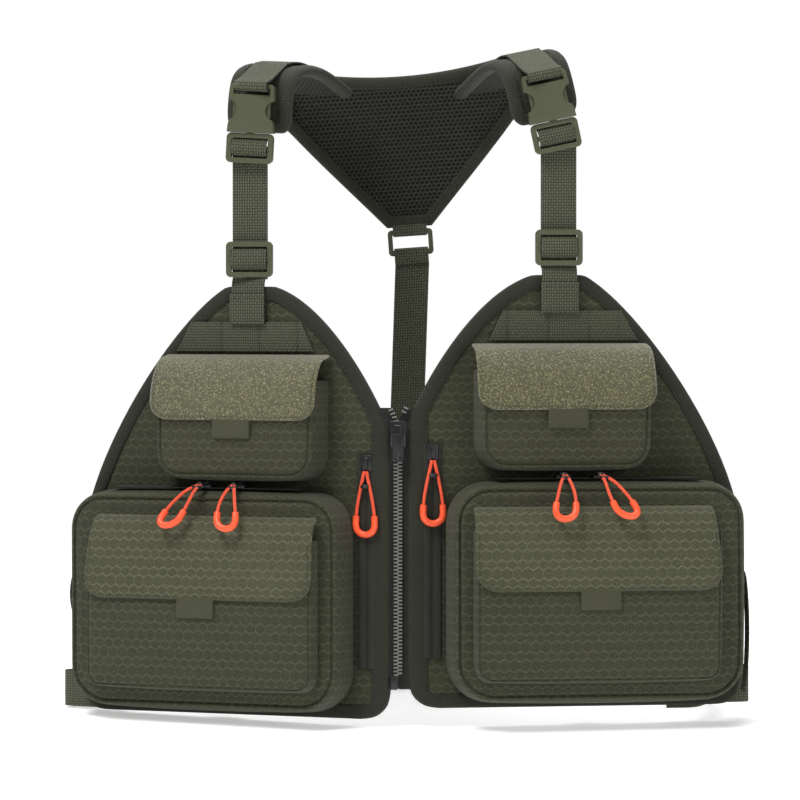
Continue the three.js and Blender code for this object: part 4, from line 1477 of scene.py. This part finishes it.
def shoulder(label, s):
    place = shoulder_frame(s)
    count = 34
    line, reach = pad_line(s, count)
    around = 24
    points, faces = [], []

    def half_width(p):
        share = min(1, max(0, (-p.x - 25) / (reach - 25)))
        return 22.6 + 6 * share

    def frame_of(i):
        a, b = line[max(i - 1, 0)], line[min(i + 1, count - 1)]
        way = (b - a).normalized()
        return Vector((way.y, -way.x, 0))

    ends = {0: (0.86, 0.45), 1: (0.97, 0.85), count - 1: (0.97, 0.7)}
    for i, p in enumerate(line):
        up = frame_of(i)
        if up.y < 0 and i > 6:
            up = -up
        wide, deep = ends.get(i, (1, 1))
        for k in range(around):
            a = 2 * math.pi * k / around
            c, d = math.cos(a), math.sin(a)
            x = math.copysign(abs(c) ** 0.55, c) * half_width(p) * wide
            h = math.copysign(abs(d) ** 0.7, d) * 3.6 * deep
            q = p + up * h
            points.append(at(place, x, q.x, q.y))
    for i in range(count - 1):
        for k in range(around):
            m = (k + 1) % around
            faces.append((i * around + k, i * around + m, (i + 1) * around + m, (i + 1) * around + k))
    faces.append(tuple(range(around)))
    faces.append(tuple(reversed(range((count - 1) * around, count * around))))
    pad = from_data(f"shoulder_pad_cloth_{label}", points, faces)
    outward(pad)
    half_way = around // 2
    rim = (0, 1, around - 1, half_way, half_way - 1, half_way + 1)
    edge = [i * around + k for i in range(count) for k in rim]
    puff(pad, edge, pressure=3, cap=1.6)
    inner = place.inverted()
    for p in pad.data.polygons:
        centre = inner @ (p.center / MM)
        near = min(range(count), key=lambda i: (line[i].x + centre.y) ** 2 + (line[i].y - centre.z) ** 2)
        up = frame_of(near)
        if up.y < 0 and near > 6:
            up = -up
        n = inner.to_3x3() @ p.normal
        facing = Vector((0, -up.x, up.y))
        p.material_index = 1 if n.dot(facing) < -0.3 else 0
    subdivide(pad, 1)
    box_map(pad, place)
    smooth(pad, 60)
    dress(pad, [SHADED_SIDE_CLOTH, LINING], "harness", [f"shoulder_pad_{label}"])

    rims = []
    for way in (-1, 1):
        path = []
        for i, p in enumerate(line):
            wide = ends.get(i, (1, 1))[0]
            path.append(at(place, way * (half_width(p) * wide + 0.2), p.x, p.y))
        rims.append(path)
    front_end = [rims[0][0].lerp(rims[1][0], t) for t in (0.25, 0.5, 0.75)]
    whole = [*reversed(rims[0]), *front_end, *rims[1]]
    whole = resample(whole, 90)
    binding = tape_round(f"pad_binding_{label}", whole, place, line, 8.0)
    dress(binding, BINDING_TONE_AND_SHADE, "harness")

    over = [
        (-5.6, 1.6), (-5.6, -2.0), (-4.9, -2.6), (4.9, -2.6), (5.6, -1.9), (5.6, 1.9), (4.6, 2.8),
        (-2, 4.2),
    ]
    lifted = []
    for i in range(9, count - 1):
        up = frame_of(i)
        if up.y < 0:
            up = -up
        lifted.append(line[i] + up * 5.3)
    path = [Vector((a, z, 0)) for a, z in over]
    route = spline([*path[:7]], 20) + spline([path[7], *lifted[3:]], 50)[1:]
    webbing_line = [at(place, 0, p.x, p.y) for p in route]
    wide = (place.to_3x3() @ Vector((1, 0, 0))).normalized()
    strip = belt_of(f"pad_strap_{label}", webbing_line, wide, WEBBING, 1.5)
    dress(strip, TAPE, "harness", [f"pad_webbing_{label}"])


def tape_round(name, path, place, line, width):
    """Folded binding tape pressed over a pad's edge."""
    inner = place.inverted()
    points, uvs, faces = [], [], []
    run = 0.0
    section = [(1.0, 3.6), (0.55, 4.15), (0.0, 2.4), (-0.12, 0.0), (0.0, -2.4), (0.55, -4.15), (1.0, -3.6)]
    for i, p in enumerate(path):
        if i:
            run += (p - path[i - 1]).length
        local = inner @ (p / MM)
        near = min(range(len(line)), key=lambda k: (line[k].x + local.y) ** 2 + (line[k].y - local.z) ** 2)
        a, b = line[max(near - 1, 0)], line[min(near + 1, len(line) - 1)]
        way = (b - a).normalized()
        up = Vector((way.y, -way.x, 0))
        if up.y < 0 and near > 6:
            up = -up
        inwards = Vector((0, 0, 1))
        if abs(local.x) > 12 or near > 3:
            inwards = Vector((-local.x, 0, 0)).normalized()
        if near <= 3 and abs(local.x) <= 20:
            inwards = Vector((0, -way.x, way.y)).normalized()
        for j, (deep, high) in enumerate(section):
            q = local + inwards * (deep * width - 0.6) + Vector((0, -up.x, up.y)) * high
            points.append((place @ q) * MM)
            uvs.append((run, j * 2.2 * MM))
    n = len(section)
    for i in range(len(path) - 1):
        for j in range(n - 1):
            faces.append((i * n + j, (i + 1) * n + j, (i + 1) * n + j + 1, i * n + j + 1))
    piece = from_data(name, points, faces, uvs)
    thicken(piece, 0.7, offset=0)
    outward(piece)
    subdivide(piece, 1)
    smooth(piece, 60)
    return piece


# ---------------------------------------------------------------- back yoke, straps and belt
def yoke():
    def half(z):
        return 90 - 6 * (z + 38) / 38 if z > -38 else 17 + 73 * (z + YOKE_LENGTH) / (YOKE_LENGTH - 38)

    def shape(a, b):
        row = -YOKE_LENGTH * (1 - b)
        x = (2 * a - 1) * (half(row) - 0.6)
        z = row - 10 * (1 - min(1, (x / 80) ** 2)) * max(0, 1 + row / YOKE_LENGTH) ** 2
        return x, z

    def put_side(front):
        def put(a, b):
            x, z = shape(a, b)
            edge = min(a, 1 - a, b, 1 - b) * 4
            fullness = 1 - math.exp(-6 * edge)
            deep = 4 + (3.1 * fullness + 0.3) * front
            return at(YOKE, x, deep, z)

        return put

    towards = (YOKE.to_3x3() @ Vector((0, -1, 0))).normalized()
    columns, rows = 46, 34
    front = cloth_grid("yoke_front", columns, rows, put_side(1), (172, YOKE_LENGTH))
    face_towards(front, towards)
    rear = cloth_grid("yoke_rear", columns, rows, put_side(-1), (172, YOKE_LENGTH))
    face_towards(rear, -towards)
    for p in rear.data.polygons:
        p.material_index = 1
    pad = joined("yoke_pad_cloth", [front, rear])
    activate(pad)
    bpy.ops.object.mode_set(mode="EDIT")
    bpy.ops.mesh.select_all(action="SELECT")
    bpy.ops.mesh.remove_doubles(threshold=0.0008)
    bpy.ops.object.mode_set(mode="OBJECT")
    outward(pad)
    puff(pad, [], pressure=1.2, cap=1.2, frames=8)
    box_map(pad, YOKE)
    smooth(pad, 60)
    pad.data.materials.clear()
    dress(pad, [LINING, SHADED_SIDE_CLOTH], "harness", ["back_yoke_pad"])

    ring = [shape(i / 40, 0) for i in range(41)] + [shape(1, i / 40) for i in range(1, 41)]
    ring += [shape(1 - i / 50, 1) for i in range(1, 51)] + [shape(0, 1 - i / 40) for i in range(1, 40)]
    ring = [Vector(p) for p in ring]

    def section(p):
        wide = 9.0
        return [
            (wide, 6.6), (wide, 7.7), (wide - 0.8, 8.2), (wide * 0.5, 8.0), (1.2, 7.2), (-0.1, 5.2),
            (-0.1, 2.8), (1.2, 0.9), (wide * 0.5, 0.0), (wide - 0.8, -0.2), (wide, 0.3), (wide, 1.4),
        ]

    edge = sweep("yoke_binding", ring, section, lambda x, a, z: at(YOKE, x, a, z))
    outward(edge)
    if not binding_faces_out(edge, YOKE, 6.8):
        flip(edge)
    smooth(edge, 50)
    dress(edge, BINDING_TONE_AND_SHADE, "harness")
    row = []
    for i, p in enumerate(ring):
        way = (ring[(i + 1) % len(ring)] - ring[i - 1]).normalized()
        q = p - Vector((way.y, -way.x)) * 7.6
        row.append(at(YOKE, q.x, 8.3, q.y))
    stitches("harness", [*row, row[0]], towards, pitch=3.2, length=2.0, thick=0.5)
    for way in (-1, 1):
        corners = [(78, -14), (42, -20), (36, -42), (70, -40)]
        box = [at(YOKE, way * x, 7.6, z) for x, z in corners]
        for a, b in zip([*box, box[0], box[1]], [*box[1:], box[0], box[2], box[3]]):
            stitches("harness", [a, a.lerp(b, 0.5), b], towards, pitch=2.8, length=1.9, thick=0.5)

    finished_copy("back_ring", "harness", BUCKLE, 0.8)
    wide = (RING.to_3x3() @ Vector((1, 0, 0))).normalized()
    loop = [
        (-1.0, 16), (-2.4, 8), (-2.9, 4.4), (-2.6, 0.2), (0, -0.9), (2.6, 0.2), (2.9, 4.4),
        (2.6, 8), (1.4, 16),
    ]
    line = spline([at(RING, 0, a, z) for a, z in loop], 34)
    tab = belt_of("ring_loop", line, wide, WEBBING, 1.4)
    dress(tab, TAPE, "harness", ["yoke_tab"])

    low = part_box("back_strap")
    top_point = at(RING, 0, 0, 1.5 * 3.4 - 19)
    foot_point = Vector((top_point.x * 0 + 0, (194 - 0.9 - 0.3 - 0.8 - 82) * MM, low[0].z))
    loop = [
        (1.4, -8), (2.6, -3.2), (2.7, 0), (1.6, 2.5), (0, 3.0), (-1.6, 2.5), (-2.7, 0),
        (-2.4, -3.4), (-0.4, -9),
    ]
    head = [at(RING, 0, a, 1.5 * 3.4 - 19 + z) for a, z in loop]
    route = spline(head, 26)
    run = [head[-1].lerp(foot_point, t) for t in [i / 50 for i in range(1, 51)]]
    for i, p in enumerate(run):
        p.y += 0.004 * math.sin(math.pi * (i + 1) / 50) * 0.4
    strap = belt_of("back_webbing", [*route, *run], wide, WEBBING, 1.5)
    dress(strap, TAPE, "harness", ["back_strap"])


def panel_spot(s, u, ahead):
    p = panel_frame(s) @ Vector((u, -ahead, 0))
    return (p.x, p.y + 82)


def belt():
    left = [panel_spot(SIDES["left"], u, -6.2) for u in (184, 200)]
    right = [panel_spot(SIDES["right"], u, -6.2) for u in (200, 184)]
    middle = [
        (-197, 92), (-201, 106), (-203, 130), (-168, 170), (-92, 190), (0, 194), (100, 188), (178, 166),
        (222, 126), (225, 84), (217, 60), (212, 46),
    ]
    route = [*left, *middle, *right]
    line = spline([((x) * MM, (y - 82) * MM, (5 + 12.5 - 452) * MM) for x, y in route], 150)
    strap = belt_of("waist_webbing", line, Vector((0, 0, 1)), WEBBING, 1.6)
    dress(strap, TAPE, "harness", ["waist_belt"])


def corner_webbing(label, s):
    place = panel_frame(s)
    body = f"front_{label}"
    up = Vector((0, 0, 1))
    w = PANEL["width"]
    far = w + s["fold"]
    fold = [
        (w - 20, -6.3), (w - 4, -6.3), (far + 4, -8.3), (far + 7, -13.3), (far + 2, -18.3),
        (w - 12, -19.3),
    ]
    line = spline([at(place, u, a, 13.5) for u, a in fold], 40)
    piece = belt_of(f"belt_anchor_{label}", line, up, 26, 1.5)
    dress(piece, TAPE, body, [f"belt_fold_{label}"])

    centre, top = 126, 16
    seat = place @ moved(centre, 5 + GAP + 3.9, top)
    wide = (seat.to_3x3() @ Vector((1, 0, 0))).normalized()
    loop = [
        (3.2, 22), (3.2, 8), (2.9, 1.2), (2.1, -3.6), (0, -4.6), (-2.1, -3.6), (-2.9, 0),
        (-2.1, 2.6), (0.6, 6), (2.0, 12),
    ]
    line = spline([at(seat, 0, a, z) for a, z in loop], 40)
    tab = belt_of(f"ring_tab_{label}", line, wide, 19.5, 1.4)
    dress(tab, TAPE, body, [f"d_ring_tab_{label}"])

    feet = {"left": (68, 98), "right": (10, 94)}[label]
    outer = LOWER_POCKET["inner"] + LOWER_POCKET["width"]
    path = []
    for i in range(24):
        t = i / 23
        z = feet[0] + (feet[1] - feet[0]) * t
        path.append(at(place, outer + 0.6 + 3.2 * math.sin(math.pi * t) ** 0.6, 12, z))
    loop_across = (place.to_3x3() @ Vector((0, 1, 0))).normalized()
    loop_piece = belt_of(f"side_loop_{label}", path, loop_across, 10, 1.2)
    dress(loop_piece, TAPE, body)


# ---------------------------------------------------------------- zips
def tooth_row(name, spots, size):
    """Moulded zip teeth, one small chamfered block for each spot."""
    deselect()
    bpy.ops.mesh.primitive_cube_add(size=1)
    block = bpy.context.object
    for v in block.data.vertices:
        v.co = Vector((v.co.x * size[0], v.co.y * size[1], v.co.z * size[2])) * MM
    m = block.modifiers.new("Edge", "BEVEL")
    m.width = 0.35 * MM
    m.segments = 1
    apply_modifier(block, "Edge")
    base = [v.co.copy() for v in block.data.vertices]
    shape = [tuple(p.vertices) for p in block.data.polygons]
    bpy.data.objects.remove(block)
    points, faces = [], []
    for spot, turn in spots:
        n = len(points)
        points += [spot + turn @ co for co in base]
        faces += [tuple(i + n for i in f) for f in shape]
    piece = from_data(name, points, faces)
    outward(piece)
    smooth(piece, 30)
    return piece


def front_zip():
    for label, s in SIDES.items():
        way = s["mirror"]
        spots = []
        count = 74
        for i in range(count):
            z = 31.2 + (215.5 - 31.2) * i / (count - 1) + (1.25 if way > 0 else 0)
            if label == "right" and 186 < z < 212:
                continue
            part = max(0, z - 207) / 10
            x = way * (1.25 + 4.5 * part**1.2)
            turn = Matrix.Rotation(0.5 * min(1, part) * way, 3, "Y") if part else Matrix.Identity(3)
            spots.append((at(BODY, x, 0.75, z), turn))
        teeth = tooth_row(f"front_zip_teeth_{label}", spots, (3.6, 2.7, 1.35))
        dress(teeth, TEETH, f"front_{label}")
        edge = s["edge"] + 2.5
        across = Vector((1, 0, 0))
        line = []
        for i in range(61):
            z = 21 + i * 196 / 60
            part = max(0, z - 207) / 10
            line.append(at(BODY, way * (0.35 + edge / 2 + 4.2 * part**1.2), -1.6, z))
        tape = belt_of(f"front_zip_tape_{label}", line, across, edge - 0.3, 0.7, columns=6)
        dress(tape, ZIP_TAPE, f"front_{label}", [f"zip_half_{label}"])
        cord = []
        for i in range(62):
            spread = 2.9 + 4.5 * (max(0, i * 3.0 - 176) / 10) ** 1.2
            cord.append(at(BODY, way * spread, 0.1, 31 + i * 3.0))
        bead = tube(f"front_zip_bead_{label}", cord, 0.7, sides=2)
        dress(bead, ZIP_TAPE, f"front_{label}")
    finished_copy("zip_box", "front_left", BLACK, 0.6)
    finished_copy("zip_slider", "zip_slider", BLACK, 0.7)
    finished_copy("zip_pull", "zip_pull", BLACK, 0.5)


def chest_zip(label, s):
    place = panel_frame(s)
    body = f"front_{label}"
    towards = (place.to_3x3() @ Vector((0, -1, 0))).normalized()
    across = (place.to_3x3() @ Vector((1, 0, 0))).normalized()
    line = [at(place, 16, 0.15, 35 + i * 149 / 50) for i in range(51)]
    tape = belt_of(f"chest_zip_tape_{label}", line, across, 11, 0.4)
    dress(tape, ZIP_TAPE, body)
    for way in (-1, 1):
        points = [
            (way * 6.8, -0.2), (way * 6.4, 0.9), (way * 4.6, 1.35), (way * 2.2, 1.1),
            (way * 0.8, 0.5),
        ]

        def put(a, b, points=points, way=way):
            k = a * 4
            i = min(3, int(k))
            p = Vector(points[i]).lerp(Vector(points[i + 1]), k - i)
            z = 35 + 149 * b
            parted = 1.2 * max(0, (z - 172) / 12)
            return at(place, 16 + p.x + way * parted * (1 - abs(p.x) / 7), p.y, z)

        lip = cloth_grid(f"chest_zip_lip_{label}_{'a' if way < 0 else 'b'}", 6, 60, put, (7, 149))
        face_towards(lip, towards)
        thicken(lip, 0.6, offset=-1)
        smooth(lip, 60)
        dress(lip, LIP, body)
    frame_line = []
    for u, z in ((8.2, 33.5), (8.2, 186), (23.8, 186), (23.8, 33.5), (8.2, 33.5)):
        frame_line.append(at(place, u, 0.45, z))
    stitches(body, frame_line[:2], towards, pitch=3.1, length=2.0, thick=0.5)
    stitches(body, frame_line[1:3], towards, pitch=3.1, length=2.0, thick=0.5)
    stitches(body, frame_line[2:4], towards, pitch=3.1, length=2.0, thick=0.5)
    stitches(body, frame_line[3:5], towards, pitch=3.1, length=2.0, thick=0.5)


# ---------------------------------------------------------------- making the vest
studio()
cord_lengths = {label: pulls(label, s) for label, s in SIDES.items()}
for label, s in SIDES.items():
    front_panel(label, s)
    upper_pocket(label, s)
    lower_pocket(label, s)
    pouch(label, s)
    flap(s, UPPER_FLAP, f"pile_flap_{label}", f"upper_flap_{label}", 0.6, PILE, 2.0, PULL_TAPE)
    flap(s, LOWER_FLAP, f"cargo_flap_{label}", f"lower_flap_{label}", 32.9, LIT_FLAP_FABRIC, 7.0, PULL_TAPE)
    sides_webbing(label, s)
    shoulder(label, s)
    corner_webbing(label, s)
    chest_zip(label, s)
    hardware(label)
front_zip()
yoke()
belt()
make_stitches([THREAD])
print("cord lengths", {k: [round(x, 4) for x in v] for k, v in cord_lengths.items()})

deselect()
